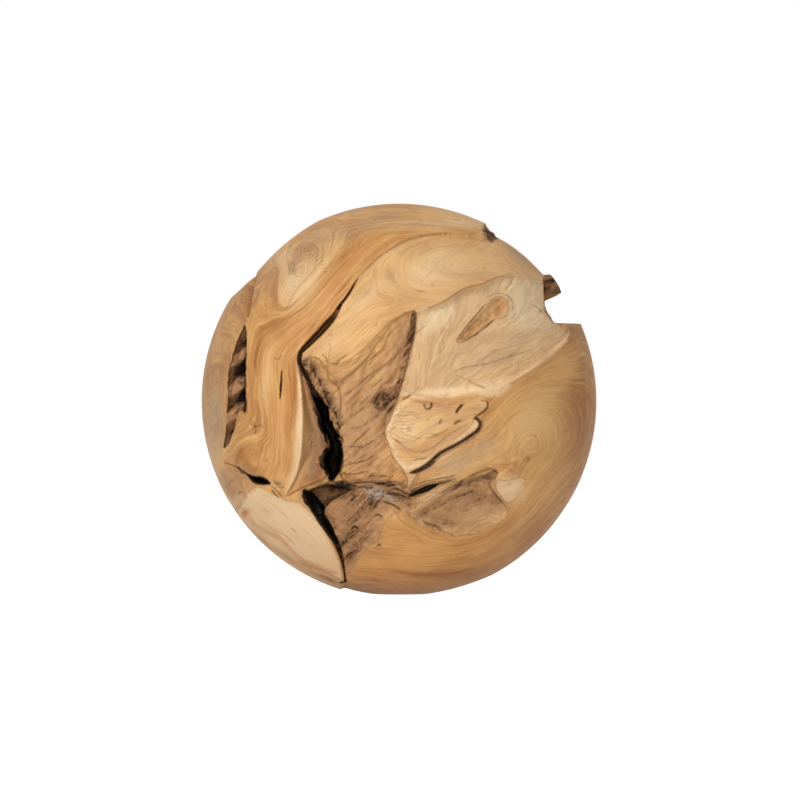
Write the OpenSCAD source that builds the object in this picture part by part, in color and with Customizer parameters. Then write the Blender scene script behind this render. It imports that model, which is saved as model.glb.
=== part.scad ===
// Wooden ball turned from one piece of root wood.
// The root's lobes never quite closed on each other, so clefts, hollows and
// folds of old bark stay open in the turned surface.
// Frame: origin in the middle of the flat spot that the ball stands on, +Z up,
// the open face with the heart cleft towards -Y.

/* [Ball] */
// Diameter that the ball is turned to
ball_d = 300; // [240:5:400]
// Diameter of the sanded flat spot under the ball
foot_d = 62; // [40:1:80]

/* [Heart cleft] */
// Widest opening of the dark heart cleft
heart_gap = 16; // [8:0.5:20]
// Depth of the heart cleft at its deepest
heart_depth = 64; // [40:1:80]
// Depth to which the smooth side of the left lobe slopes into the heart cleft
heart_wall_depth = 34; // [20:1:38]

/* [Cave and crevice] */
// Depth of the cave below the heart cleft
cave_depth = 42; // [30:1:55]
// Widest opening of the crevice that runs down from the cave
crevice_gap = 8; // [4:0.5:12]
// Depth of that crevice
crevice_depth = 34; // [15:1:45]

/* [Side cleft] */
// Depth of the cleft on the left side
side_depth = 42; // [25:1:55]
// How far the slanting ridges in the side cleft lie under its rim
ridge_drop = 12; // [6:0.5:20]
// Thickness of each slanting ridge at its crest
ridge_t = 5; // [3:0.5:7]
// How much thicker each ridge gets on either side for each millimetre inwards
ridge_flare = 0.4; // [0.2:0.05:0.5]
// Widest opening of the small bark hole under the side cleft
hole_gap = 5; // [2:0.5:8]
// Depth of the small bark hole
hole_depth = 24; // [10:1:35]

/* [Notch] */
// How deep the notch cuts into the outline at the upper right
notch_depth = 21; // [10:1:26]
// Depth of the small nick in the outline at the end of the top lobe
nick_depth = 7; // [3:0.5:10]

/* [Hollows] */
// Depth of the pale scooped hollow at the right
scoop_depth = 10; // [5:0.5:16]
// Depth of the dark knot in the scooped hollow, below the turned surface
knot_depth = 12.5; // [11:0.5:18]
// Depth of the rough brown wedge beside the heart cleft
wedge_depth = 12; // [6:0.5:18]
// Depth of the shelf below the pale island
shelf_depth = 5; // [2:0.5:8]
// Depth of the brown patch at the lower right
patch_depth = 6.5; // [4:0.5:10]
// Depth of the brown field between the crevice and the patch
field_depth = 7; // [4:0.5:10]
// Depth of the flattened pale face on the lower left lobe
face_depth = 3.5; // [2:0.5:6]
// Depth of the pale heart-shaped inset
inset_depth = 2; // [1:0.5:4]

/* [Seams] */
// Depth of the fold between the upper left lobe and the side lobe
fold_depth = 9; // [4:0.5:12]
// Opening of the sharp bottom of that fold
seam_fold_gap = 14; // [8:1:20]
// Depth of the sharp bottom of that fold
seam_fold_depth = 12; // [6:0.5:14]
// Drop of the upper right lobe below the turned surface
shoulder_drop = 5; // [3:0.5:9]
// Drop of the underside beside the lower left lobe
belly_drop = 2.4; // [1:0.2:4]
// Opening of the fine seams and checks
seam_gap = 1.6; // [1:0.1:3]
// Depth of the fine seams and checks
seam_depth = 9; // [5:1:15]
// Opening of the shadow gaps at the pale island's corner and under the ledge
gap_gap = 2.6; // [1.5:0.1:4]
// Depth of these shadow gaps
gap_depth = 11; // [6:0.5:15]

/* [Hidden] */
$fn = 128;
ball_r = ball_d / 2;
foot_r = foot_d / 2;
centre_z = sqrt(ball_r * ball_r - foot_r * foot_r);
clear_out = 12; // how far every cutter stands out of the turned surface
u = ball_r / 100; // places on the ball are hundredths of its radius
front = -1;
rear = 1;

// ---- places on and under the turned surface ----

// Point of the turned surface, x across and z up in hundredths of the radius.
function skin(x, z, side = front) =
    [x * u, side * u * sqrt(max(10000 - x * x - z * z, 0)), z * u];

// The point p brought back to the turned surface: along Y, or along its radius.
function on_skin(p, radial) =
    radial ? p * ball_r / norm(p) : [p[0], -sqrt(max(ball_r * ball_r - p[0] * p[0] - p[2] * p[2], 0)), p[2]];

// Point d under the surface point p: straight back from the front, or to the centre.
function under(p, d, radial) = radial ? p * (1 - d / ball_r) : p + [0, d, 0];

// Point above the surface point p, outside the ball.
function over(p, lift, radial) = radial ? p * (1 + lift / ball_r) : [p[0], -ball_r - lift, p[2]];

function side_of(p) = len(p) > 3 ? p[3] : front;

function unit(v) = v / norm(v);

// Closed rim with a point put between each two, on a smooth curve through them.
// Each point is [place on the surface, share of the depth].
function smooth_rim(rim, radial) =
    let (n = len(rim))
    [for (i = [0 : n - 1])
        let (
            p = rim[(i + n - 1) % n], q = rim[i], r = rim[(i + 1) % n], s = rim[(i + 2) % n],
            halfway = ((q[0] + r[0]) * 9 - p[0] - s[0]) / 16
        )
        each [q, [on_skin(halfway, radial), (q[1] + r[1]) / 2]]];

// Open path of stations with one put between each two in the same way.
function smooth_path(path) =
    let (last = len(path) - 1)
    [for (i = [0 : last])
        let (
            p = path[max(i - 1, 0)], q = path[i], r = path[min(i + 1, last)], s = path[min(i + 2, last)]
        )
        each i < last ? [q, ((q + r) * 9 - p - s) / 16] : [q]];

// ---- solids that the cutters are made of ----

// Triangles between closed sections of n points each, one after another.
function skin_faces(n, sections) =
    [for (i = [0 : sections - 2], j = [0 : n - 1])
        let (a = i * n + j, b = i * n + (j + 1) % n)
        each [[a, b, a + n], [b, b + n, a + n]]];

// Hollow with a rim of [x, z, share, side] points going clockwise as seen from
// outside. share is the part of depth that the floor reaches at the rim, and
// middle says the same for the point in the middle of the bowl. A roundness over 1
// makes a bowl, and one under 1 makes a fold that steepens towards the middle.
module hollow(rim, middle, depth, radial = false, rings = 3, roundness = 2) {
    raw = [for (p = rim) [skin(p[0], p[1], side_of(p)), p[2]]];
    edge = smooth_rim(raw, radial);
    n = len(edge);
    mid = skin(middle[0], middle[1], side_of(middle));
    roof = [for (e = edge) over(e[0], clear_out, radial)];
    bowl = [for (r = [0 : rings - 1], e = edge)
        let (t = r / rings, fall = 1 - pow(1 - t, roundness))
        under(on_skin(e[0] * (1 - t) + mid * t, radial),
              depth * (e[1] * (1 - fall) + middle[2] * fall), radial)];
    tip = n * (rings + 1);
    tips = [under(mid, depth * middle[2], radial), over(mid, clear_out + 4, radial)];
    floor_fan = [for (j = [0 : n - 1]) [rings * n + j, tip, rings * n + (j + 1) % n]];
    roof_fan = [for (j = [0 : n - 1]) [j, (j + 1) % n, tip + 1]];
    walls = [for (f = skin_faces(n, rings + 1)) [f[0], f[2], f[1]]];
    polyhedron(concat(roof, bowl, tips), concat(walls, floor_fan, roof_fan));
}

// Cleft along a path of [x, z, gap share, depth share] stations on the front. The
// walls draw in to a third of the gap at the bottom. A radial one is cut towards
// the ball's centre, and its stations name their side too.
module cleft(path, gap, depth, smooth = true, radial = false) {
    stations = smooth ? smooth_path(path) : path;
    last = len(stations) - 1;
    place = [for (s = stations) skin(s[0], s[1], radial ? s[4] : front)];
    sections = [for (i = [0 : last])
        let (
            s = stations[i],
            p = place[i],
            along = place[min(i + 1, last)] - place[max(i - 1, 0)],
            across = unit(cross(along, radial ? -p : [0, 1, 0])),
            half = gap * s[2] / 2,
            d = depth * s[3],
            left = on_skin(p - across * half, radial),
            right = on_skin(p + across * half, radial)
        )
        [
            over(left, clear_out, radial), over(right, clear_out + 2, radial),
            under(right, d * 0.6, radial) - across * half * 0.35,
            under(p, d, radial) + across * half * 0.33,
            under(p, d, radial) - across * half * 0.33,
            under(left, d * 0.6, radial) + across * half * 0.35
        ]];
    n = len(sections[0]);
    caps = [[for (j = [n - 1 : -1 : 0]) j], [for (j = [0 : n - 1]) last * n + j]];
    polyhedron([for (s = sections) each s], concat(skin_faces(n, last + 1), caps));
}

// ---- the heart cleft and what opens from it ----

module heart_cleft() {
    cleft([
        [-29, 48, 0.1, 0.15], [-32.5, 42, 0.25, 0.35], [-36, 38, 0.35, 0.6], [-40.5, 33, 0.32, 0.7],
        [-45.5, 28, 0.28, 0.7], [-49, 24, 0.22, 0.6], [-49.5, 19, 0.2, 0.6], [-47, 13, 0.25, 0.7],
        [-44, 6.5, 0.32, 0.8], [-41.5, 0.5, 0.42, 0.85], [-38, -5, 0.6, 0.9], [-35.5, -12, 0.65, 1],
        [-33, -20, 0.75, 1], [-32.5, -27.5, 0.95, 1], [-33.5, -33, 0.9, 1], [-34.5, -38.5, 0.95, 0.95]
    ], heart_gap, heart_depth);
    // smooth side of the left lobe, sloping into the cleft
    hollow([
        [-50.5, 20.5, 0.04], [-47, 14, 0.25], [-44.5, 8, 0.4], [-41.5, 1, 0.6], [-38, -5, 0.8],
        [-35, -15, 1], [-33, -28, 1], [-34, -37.5, 0.9], [-41, -41, 0.75], [-48, -43.5, 0.5],
        [-57, -48, 0.08], [-52.5, -40, 0.05], [-49, -27, 0.05], [-48, -10, 0.05], [-48.5, 6, 0.05]
    ], [-41, -20, 0.6], heart_wall_depth);
}

module cave() {
    hollow([
        [-47.5, -46, 0.4], [-41, -43, 0.65], [-35, -41.5, 0.8], [-28, -42.5, 0.5], [-23, -44, 0.25],
        [-27.5, -46.5, 0.3], [-32.5, -49, 0.4], [-36, -52.5, 0.5], [-37.5, -57, 0.7], [-39.5, -60, 0.7],
        [-43, -55.5, 0.6], [-47, -50.5, 0.4]
    ], [-40, -49.5, 1], cave_depth);
}

// Crevice between the lower left lobe and the field, from the cave to the underside.
module crevice() {
    cleft([
        [-41.5, -52, 0.9, 0.8], [-38.5, -58.5, 1, 1], [-36, -64, 0.9, 1], [-33, -70.5, 0.75, 0.9],
        [-30.5, -77, 0.6, 0.75], [-28.5, -84, 0.45, 0.55], [-27.5, -89.5, 0.4, 0.4], [-27, -93.5, 0.35, 0.3]
    ], crevice_gap, crevice_depth);
}

// ---- the left side ----

// Slanting ridge in the side cleft at height z, thicker towards its foot.
module ridge(z) {
    foot_t = ridge_t + 2 * ridge_flare * ball_r;
    translate([-81 * u, skin(-81, z)[1] + ridge_drop, z * u])
        rotate([0, -32, 0])
            rotate([90, 0, 90])
                linear_extrude(height = 30 * u, center = true)
                    polygon([
                        [0, -ridge_t / 2], [ball_r, -foot_t / 2], [ball_r, foot_t / 2], [0, ridge_t / 2]
                    ]);
}

module side_cleft() {
    difference() {
        hollow([
            [-77, 38, 0.2], [-76.5, 26, 0.9], [-76.5, 10, 1], [-76.5, -5.5, 0.6], [-79, -4.5, 0.7],
            [-81.5, -9, 0.8], [-83, -15, 0.7], [-85.5, -21, 0.4], [-88, -23.5, 0.2], [-87, -17, 0.4],
            [-86.5, -9.5, 0.6], [-85.5, 2, 0.7], [-85.5, 12, 0.6], [-82.5, 25, 0.6]
        ], [-81, 6, 1], side_depth);
        for (z = [-3, 9, 20])
            ridge(z);
    }
}

// Small bark hole under the side cleft, with its tail.
module bark_hole() {
    cleft([
        [-84, -31, 0.2, 0.3], [-79, -34.5, 0.25, 0.4], [-75, -37, 0.5, 0.6], [-72, -39.5, 0.9, 1],
        [-68, -40, 1, 1], [-65, -41, 0.4, 0.5]
    ], hole_gap, hole_depth);
}

// Upright drying check on the upper left lobe.
module left_check() {
    cleft([[-58.5, 15, 0.5, 0.6], [-58.7, 10, 1, 1], [-59, 5, 1, 1], [-59.3, 1, 0.5, 0.6]],
        seam_gap, seam_depth, smooth = false);
}

// Fold between the upper left lobe and the side lobe, from the side cleft over
// the outline to the back.
module lobe_fold() {
    hollow([
        [-75.5, 40, 0.15, front], [-78, 45, 0.15, front], [-81, 49, 0.05, front], [-85, 51.5, 0.04, front],
        [-84, 52, 0.04, rear], [-78, 54, 0.04, rear], [-70, 57, 0.04, rear], [-61, 66, 0.04, rear],
        [-56, 76, 0.04, rear], [-56, 82.5, 0.04, rear], [-58, 81, 0.04, front], [-62, 74, 0.04, front],
        [-67, 64, 0.08, front], [-71.5, 52, 0.12, front]
    ], [-76, 62, 1, front], fold_depth, true, rings = 4, roundness = 0.55);
}

// Sharp bottom of that fold.
module fold_seam() {
    cleft([
        [-76.6, 43, 0.3, 0.5, front], [-77, 50, 0.7, 0.9, front], [-77.3, 57, 1, 1, front],
        [-77.5, 62.5, 1, 1, front], [-75, 65.5, 1, 1, rear], [-70, 68.5, 0.7, 0.7, rear],
        [-63, 71, 0.3, 0.3, rear]
    ], seam_fold_gap, seam_fold_depth, smooth = false, radial = true);
}

// ---- the right side ----

module scoop() {
    hollow([
        [6, 42, 0.12], [12, 45, 0.2], [22, 49.5, 0.5], [33, 56.5, 0.6], [40.5, 58, 0.6], [49, 62, 0.6],
        [58, 64, 0.5], [66, 61.5, 0.6], [72.5, 60, 0.9], [76.5, 51, 1.2], [80, 43, 1.1], [84, 37, 0.7],
        [85.5, 33, 0.3], [77.5, 25.5, 0.5], [65, 16.5, 0.6], [52, 8.5, 0.7], [45, 5.5, 0.7], [36, 3.8, 0.65],
        [23, 0.8, 0.6], [9, 3, 0.4], [1, 6, 0.15], [1.5, 12, 0.1], [3, 21, 0.1], [5, 33, 0.1]
    ], [50, 34, 1], scoop_depth, rings = 4);
}

// Dark knot lying in the scoop.
module knot() {
    hollow([
        [28.5, 29.5, 0.8], [31, 34.5, 0.95], [40, 43.5, 1], [46.5, 50.5, 0.95], [51, 52, 0.9],
        [54.5, 48.5, 0.9], [53.5, 42.5, 0.9], [46, 39.5, 0.95], [38.5, 33, 0.9], [32.5, 29.5, 0.8]
    ], [44, 42.5, 1], knot_depth, rings = 2);
}

// Notch that runs from the scoop over the outline to the back. It narrows and
// climbs out of the ball there, under the far lobe.
module notch() {
    deep = rear * skin(0, 50, rear)[1] - notch_depth;
    far_x = ball_r + clear_out;
    sections = [for (s = [[-0.72, 66, 39.5, 0], [-0.3, 64, 38.5, 0], [-0.02, 61, 38, 0], [0.12, 53.5, 38, 0],
                          [0.45, 51, 40, 2], [0.75, 51, 42, 28]])
        let (y = s[0] * ball_r, x = deep + s[3] * u)
        [
            [x, y, s[1] * u], [x, y, (s[2] + 6) * u], [x + 4.5 * u, y, s[2] * u],
            [far_x, y, (s[2] + 2) * u], [far_x, y, (s[1] + 6) * u]
        ]];
    n = len(sections[0]);
    last = len(sections) - 1;
    caps = [[for (j = [n - 1 : -1 : 0]) j], [for (j = [0 : n - 1]) last * n + j]];
    polyhedron([for (s = sections) each s], concat(skin_faces(n, last + 1), caps));
}

// Upper right lobe, lower than the turned surface.
module shoulder() {
    hollow([
        [-2, 77, 0.1, front], [9, 82.5, 0.35, front], [20, 83.8, 0.55, front], [31, 84.5, 0.8, front],
        [40, 84.5, 1, front], [46, 85, 1.1, front], [49.5, 84.5, 1, rear], [54, 77, 0.6, rear],
        [61, 70.5, 0.5, rear], [69, 65.5, 0.55, rear], [74, 64.5, 0.8, rear], [76, 61.5, 0.85, front],
        [73, 59.5, 0.5, front], [66, 60.5, 0.25, front], [54.5, 62.5, 0.12, front], [40, 60, 0.08, front],
        [24, 62, 0.05, front], [8, 68, 0.05, front]
    ], [54, 75, 0.95, front], shoulder_drop, true);
}

// Seam that runs on from the top of the heart cleft, where the lobes have grown together.
module top_seam() {
    cleft([[-20.5, 61, 0.5, 0.5], [-22.8, 57.4, 0.9, 0.8], [-25, 53.5, 1.1, 1], [-28, 49.5, 1.4, 1.1]],
        seam_gap, seam_depth, smooth = false);
}

// Nick in the outline at the end of the top lobe.
module nick() {
    hollow([
        [41, 85, 0.6, front], [43, 88.5, 0.6, front], [44.5, 89, 0.5, rear], [48, 85.5, 0.5, rear],
        [52, 80.5, 0.4, rear], [50, 81.5, 0.7, front]
    ], [46.5, 85.5, 1, front], nick_depth, true, rings = 2);
}

// ---- the middle and the lower face ----

module wedge() {
    hollow([
        [-43.5, 22, 0.1], [-34.5, 18.5, 0.08], [-25.5, 20.5, 0.08], [-16, 28, 0.1], [-5.5, 38.5, 0.15],
        [0, 42, 0.2], [7.5, 45, 0.35], [8, 36, 0.7], [6.5, 28, 0.9], [3.5, 18, 1], [2, 9, 1],
        [-1, 1.5, 1], [-4, -8, 0.95], [-7, -14.5, 0.9], [-5.5, -21, 0.9], [-2, -29, 0.8], [3, -36, 0.6],
        [3.5, -42.5, 0.45], [-5.5, -40.5, 0.45], [-12.5, -39.5, 0.5], [-21, -41, 0.6], [-28.5, -38, 0.8],
        [-30.5, -27.5, 1], [-31, -19, 1], [-35, -10, 1], [-39.5, -1.5, 0.85], [-43.5, 8, 0.65]
    ], [-20, -4, 0.9], wedge_depth, rings = 4);
}

// Long groove under the upper lip of the wedge.
module wedge_groove() {
    cleft([[-6.5, 28.5, 0.6, 1.2], [-14.5, 22, 1.4, 1.5], [-23.5, 14.5, 1.6, 1.7], [-30.5, 8.5, 1, 1.6]],
        seam_gap, seam_depth);
}

// Shelf between the pale island and the brown patch.
module shelf() {
    hollow([
        [5, -45, 0.9], [9.5, -35.8, 1.4], [15.5, -31.5, 1.9], [21.5, -26.5, 1.7], [29.5, -22.2, 1.8],
        [37, -17.8, 1.9], [40.5, -13.5, 1.6], [42.5, -6, 0.7], [50, -5, 0.1], [56, -15, 0.08],
        [58, -27, 0.1], [54, -34, 0.4], [46, -37.5, 0.8], [37, -39.5, 0.9], [28, -41.5, 0.9],
        [19, -46.5, 0.9], [11, -50.5, 0.8]
    ], [34, -29.5, 0.7], shelf_depth);
}

// Shadow gap round the corner of the pale island.
module island_corner() {
    cleft([[38.2, -8.4, 0.5, 0.7], [41.5, -5.3, 0.6, 0.8], [44.5, -2.2, 0.4, 0.6]], gap_gap, gap_depth,
        smooth = false);
}

// Slit under the ledge of the wedge.
module ledge_slit() {
    cleft([[5.2, -47.2, 0.3, 0.7], [9.5, -45, 0.9, 1], [14, -43, 1.2, 1.2], [19.5, -41.8, 0.8, 1],
           [27, -39.4, 0.35, 0.8]], gap_gap, gap_depth, smooth = false);
}

module brown_patch() {
    hollow([
        [4.5, -54.5, 0.3], [12, -49, 0.7], [21, -44.3, 0.9], [28.5, -40.3, 1], [37.5, -38.3, 1],
        [43, -36.8, 1], [49, -35.5, 0.9], [47, -41.5, 0.85], [49.5, -48.5, 0.8], [53.5, -54, 0.7],
        [52, -59.5, 0.3], [38, -66.5, 0.6], [27.5, -67.5, 0.6], [19, -64, 0.45], [9, -61, 0.3]
    ], [31, -53, 0.75], patch_depth);
}

// Pale heart-shaped inset beside the patch.
module inset() {
    hollow([
        [48, -42.5, 1], [49.5, -39.3, 1], [54, -39.8, 1], [59, -38.2, 1], [63, -39, 1], [62.5, -44, 1],
        [58, -49, 1], [53.8, -51, 1], [50.5, -47.5, 1]
    ], [55.5, -44, 0.8], inset_depth, rings = 2);
}

module brown_field() {
    hollow([
        [-22.5, -43, 0.9], [-12.5, -41.5, 0.7], [-4, -43, 0.7], [4, -47.5, 0.8], [9, -51, 0.6],
        [3, -55, 0.35], [-4.5, -58, 0.25], [-9, -65, 0.3], [-11.5, -72, 0.35], [-19, -76.5, 0.3],
        [-24, -85.5, 0.2], [-27.5, -85.5, 0.3], [-30, -76, 0.9], [-33, -69, 1], [-36, -61.5, 1],
        [-36, -53.5, 1], [-29, -47.5, 1]
    ], [-19, -58, 0.85], field_depth);
}

// Flattened pale face of the lower left lobe, rolling over into the crevice.
module lower_lobe() {
    hollow([
        [-65, -46.5, 0.3], [-57, -49.8, 0.5], [-49.5, -50.8, 0.9], [-42.5, -57.5, 1.7], [-37.5, -65, 1.6],
        [-33, -74, 1.2], [-30, -81, 0.8], [-28.2, -88.5, 0.3], [-37, -87, 0.1], [-50, -81, 0.15],
        [-60, -75.5, 0.2], [-69, -67, 0.3], [-73, -59, 0.35], [-71.5, -51.5, 0.35]
    ], [-51, -65, 0.8], face_depth);
}

// Underside beside the tip of the lower left lobe.
module belly() {
    hollow([
        [-26, -91, 1, front], [-17, -89, 0.5, front], [-5, -87, 0.15, front], [10, -86, 0.06, front],
        [25, -86, 0.04, front], [38, -86.5, 0.04, front], [46, -87.5, 0.04, front], [45, -88.5, 0.04, rear],
        [33, -91, 0.04, rear], [18, -93, 0.06, rear], [0, -94, 0.1, rear], [-18, -94, 0.2, rear],
        [-29, -94.5, 0.5, rear], [-29, -95.5, 1, front]
    ], [-12, -97, 1, front], belly_drop, true);
}

module foot_cut() {
    translate([0, 0, -ball_r - clear_out])
        cylinder(h = ball_r + clear_out - centre_z, r = ball_r);
}

// ---- the ball ----

// The openings, in the order in which they are cut.
module opening(i) {
    if (i == 0) foot_cut();
    if (i == 1) belly();
    if (i == 2) lobe_fold();
    if (i == 3) fold_seam();
    if (i == 4) shoulder();
    if (i == 5) notch();
    if (i == 6) nick();
    if (i == 7) top_seam();
    if (i == 8) scoop();
    if (i == 9) knot();
    if (i == 10) wedge();
    if (i == 11) brown_patch();
    if (i == 12) inset();
    if (i == 13) brown_field();
    if (i == 14) shelf();
    if (i == 15) lower_lobe();
    if (i == 16) heart_cleft();
    if (i == 17) cave();
    if (i == 18) crevice();
    if (i == 19) side_cleft();
    if (i == 20) bark_hole();
    if (i == 21) left_check();
    if (i == 22) wedge_groove();
    if (i == 23) island_corner();
    if (i == 24) ledge_slit();
}
openings = 25;

// The turned ball with the first count openings cut, each from what the ones
// before it left standing.
module carved(count) {
    if (count == 0)
        sphere(r = ball_r);
    else
        difference() {
            carved(count - 1);
            opening(count - 1);
        }
}

module wooden_ball() {
    color([0.80, 0.62, 0.40])
        translate([0, 0, centre_z])
            carved(openings);
}

wooden_ball();
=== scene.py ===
"""A wooden ball turned from one piece of teak root, dressed around its CAD solid.

The solid gives the ball its size, its clefts and its hollows. This script turns
the same ball again as a fine mesh, cuts the same openings with their rolled
lips, torn bark and drying cracks, and gives the wood its figure and finish.

Places on the ball are written as in the part's source: x across and z up, seen
on the open face from the ball's centre, in hundredths of the ball's radius.
Widths and depths are millimetres.
"""

import logging
import math
from collections.abc import Callable, Sequence
from dataclasses import dataclass, field
from enum import Enum
from functools import reduce
from itertools import product

import bmesh
import bpy
import numpy as np
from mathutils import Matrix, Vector


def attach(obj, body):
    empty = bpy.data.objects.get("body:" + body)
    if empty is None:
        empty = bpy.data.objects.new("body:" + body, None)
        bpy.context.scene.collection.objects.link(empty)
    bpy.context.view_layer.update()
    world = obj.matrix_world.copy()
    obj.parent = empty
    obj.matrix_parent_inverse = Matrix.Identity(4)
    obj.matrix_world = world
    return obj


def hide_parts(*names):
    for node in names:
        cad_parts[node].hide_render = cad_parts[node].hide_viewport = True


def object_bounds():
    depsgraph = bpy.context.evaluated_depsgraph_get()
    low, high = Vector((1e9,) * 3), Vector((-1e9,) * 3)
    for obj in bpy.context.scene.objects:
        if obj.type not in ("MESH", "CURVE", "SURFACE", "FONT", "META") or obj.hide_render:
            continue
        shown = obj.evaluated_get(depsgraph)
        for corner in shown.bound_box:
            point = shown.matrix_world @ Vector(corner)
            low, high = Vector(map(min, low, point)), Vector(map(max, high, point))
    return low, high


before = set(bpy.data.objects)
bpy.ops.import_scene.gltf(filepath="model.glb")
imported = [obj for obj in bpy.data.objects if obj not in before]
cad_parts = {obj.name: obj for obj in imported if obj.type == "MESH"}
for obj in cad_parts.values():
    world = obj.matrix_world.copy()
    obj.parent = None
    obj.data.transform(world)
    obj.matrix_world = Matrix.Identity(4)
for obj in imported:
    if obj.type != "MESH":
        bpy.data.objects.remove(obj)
cad_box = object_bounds()

log = logging.getLogger("wooden_ball")
Array = np.ndarray
Points = Sequence[Sequence[float]]
Socket = bpy.types.NodeSocket
Value = Socket | float

MM = 0.001
R = 100.0  # the ball's radius in the units that places are written in
FAR = 1e3  # farther than anything on the ball, in those units
TINY = 1e-9  # keeps divisions from failing
FOOT_SHARE = 31 / 150  # radius of the flat spot as a share of the ball's
FACET_SIZES = 2.5, 1.3, 0.65  # spacing of the mesh in the hollows, on torn wood and at rims, in millimetres


def srgb(code: str) -> tuple[float, float, float, float]:
    """Turns an sRGB hex colour to the linear one that shaders take.

    Args:
        code: the colour, such as "#D9A866".

    Returns:
        Linear red, green, blue and an alpha of 1.
    """
    parts = [int(code[i : i + 2], 16) / 255 for i in (1, 3, 5)]
    return (*(c / 12.92 if c <= 0.04045 else ((c + 0.055) / 1.055) ** 2.4 for c in parts), 1.0)


def smoothstep(low: float | Array, high: float | Array, value: Array) -> Array:
    """Rises smoothly from 0 at low to 1 at high.

    Args:
        low: where the rise starts.
        high: where it ends.
        value: the values to map.

    Returns:
        Values from 0 to 1.
    """
    t = np.clip((value - low) / (high - low), 0, 1)
    return t * t * (3 - 2 * t)


class Noise:
    """Gradient noise on 3-D points, the same on every run."""

    def __init__(self, seed: int) -> None:
        """Draws the lattice.

        Args:
            seed: picks the lattice.
        """
        rng = np.random.default_rng(seed)
        self.order = rng.permutation(256)
        slopes = rng.normal(size=(256, 3))
        self.slopes = slopes / np.linalg.norm(slopes, axis=1)[:, None]

    def at(self, points: Array) -> Array:
        """Noise of about -1 to 1.

        Args:
            points: where, one row a point, in cells of the lattice.

        Returns:
            One value a point.
        """
        cell = np.floor(points).astype(np.int64)
        part = points - cell
        ease = part**3 * (part * (part * 6 - 15) + 10)
        total = np.zeros(len(points))
        for corner in product((0, 1), repeat=3):
            c = cell + corner
            h = self.order[c[:, 0] & 255]
            h = self.order[(h + c[:, 1]) & 255]
            h = self.order[(h + c[:, 2]) & 255]
            slope = np.einsum("ij,ij->i", self.slopes[h], part - corner)
            weight = np.where(corner, ease, 1 - ease).prod(axis=1)
            total += slope * weight
        return total * 1.6

    def rough(self, points: Array, octaves: int = 3) -> Array:
        """Noise with finer and finer detail on it.

        Args:
            points: where, in cells of the coarsest lattice.
            octaves: how many layers.

        Returns:
            One value a point.
        """
        return sum(self.at(points * 2**k + 17.3 * k) / 2**k for k in range(octaves))


def flat3(places: Array, height: float = 0.0) -> Array:
    """Puts 2-D places into 3-D at one height, for the noise."""
    return np.column_stack([places, np.full(len(places), height)])


def smooth_closed(points: Array) -> Array:
    """Puts a point between each two of a closed outline, on a smooth curve.

    Args:
        points: the outline's points, with any further values in their columns.

    Returns:
        Twice as many points.
    """
    before, after, beyond = np.roll(points, 1, 0), np.roll(points, -1, 0), np.roll(points, -2, 0)
    halfway = ((points + after) * 9 - before - beyond) / 16
    return np.stack([points, halfway], axis=1).reshape(-1, points.shape[1])


def smooth_open(points: Array) -> Array:
    """Puts a point between each two of an open path, on a smooth curve.

    Args:
        points: the path's points, with any further values in their columns.

    Returns:
        The longer path.
    """
    padded = np.vstack([points[:1], points, points[-1:]])
    halfway = ((padded[1:-2] + padded[2:-1]) * 9 - padded[:-3] - padded[3:]) / 16
    out = np.empty((2 * len(points) - 1, points.shape[1]))
    out[0::2], out[1::2] = points, halfway
    return out


def to_segments(places: Array, starts: Array, ends: Array) -> tuple[Array, Array, Array]:
    """Finds the nearest of some segments to each place.

    Args:
        places: 2-D places.
        starts: the segments' first points.
        ends: their last points.

    Returns:
        The distance, which segment, and how far along it from 0 to 1.
    """
    along = ends - starts
    length2 = np.maximum((along**2).sum(1), TINY)
    rel = places[:, None, :] - starts[None]
    t = np.clip((rel * along[None]).sum(2) / length2, 0, 1)
    gap = np.linalg.norm(rel - t[..., None] * along[None], axis=2)
    pick = gap.argmin(1)
    rows = np.arange(len(places))
    return gap[rows, pick], pick, t[rows, pick]


def tangent(points: Array, middle: Array) -> Array:
    """Lays directions from the ball's centre on the plane that touches it at middle.

    Args:
        points: directions, one a row.
        middle: the direction of the plane's origin.

    Returns:
        2-D places on that plane; directions on the far side are put far away.
    """
    axis = middle / np.linalg.norm(middle)
    right = np.cross(axis, (0.0, 0.0, 1.0))
    right /= np.linalg.norm(right)
    up = np.cross(right, axis)
    ahead = points @ axis
    safe = np.where(ahead > 0.2 * R, ahead, 1e-3)
    flat = np.column_stack([points @ right, points @ up]) / safe[:, None] * R
    return np.where((ahead > 0.2 * R)[:, None], flat, 1e4)


def skin(x: float, z: float, side: float = -1) -> Array:
    """The turned surface's point at a place; side is -1 on the open face and 1 behind."""
    return np.array([x, side * math.sqrt(max(R * R - x * x - z * z, 0)), z])


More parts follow.
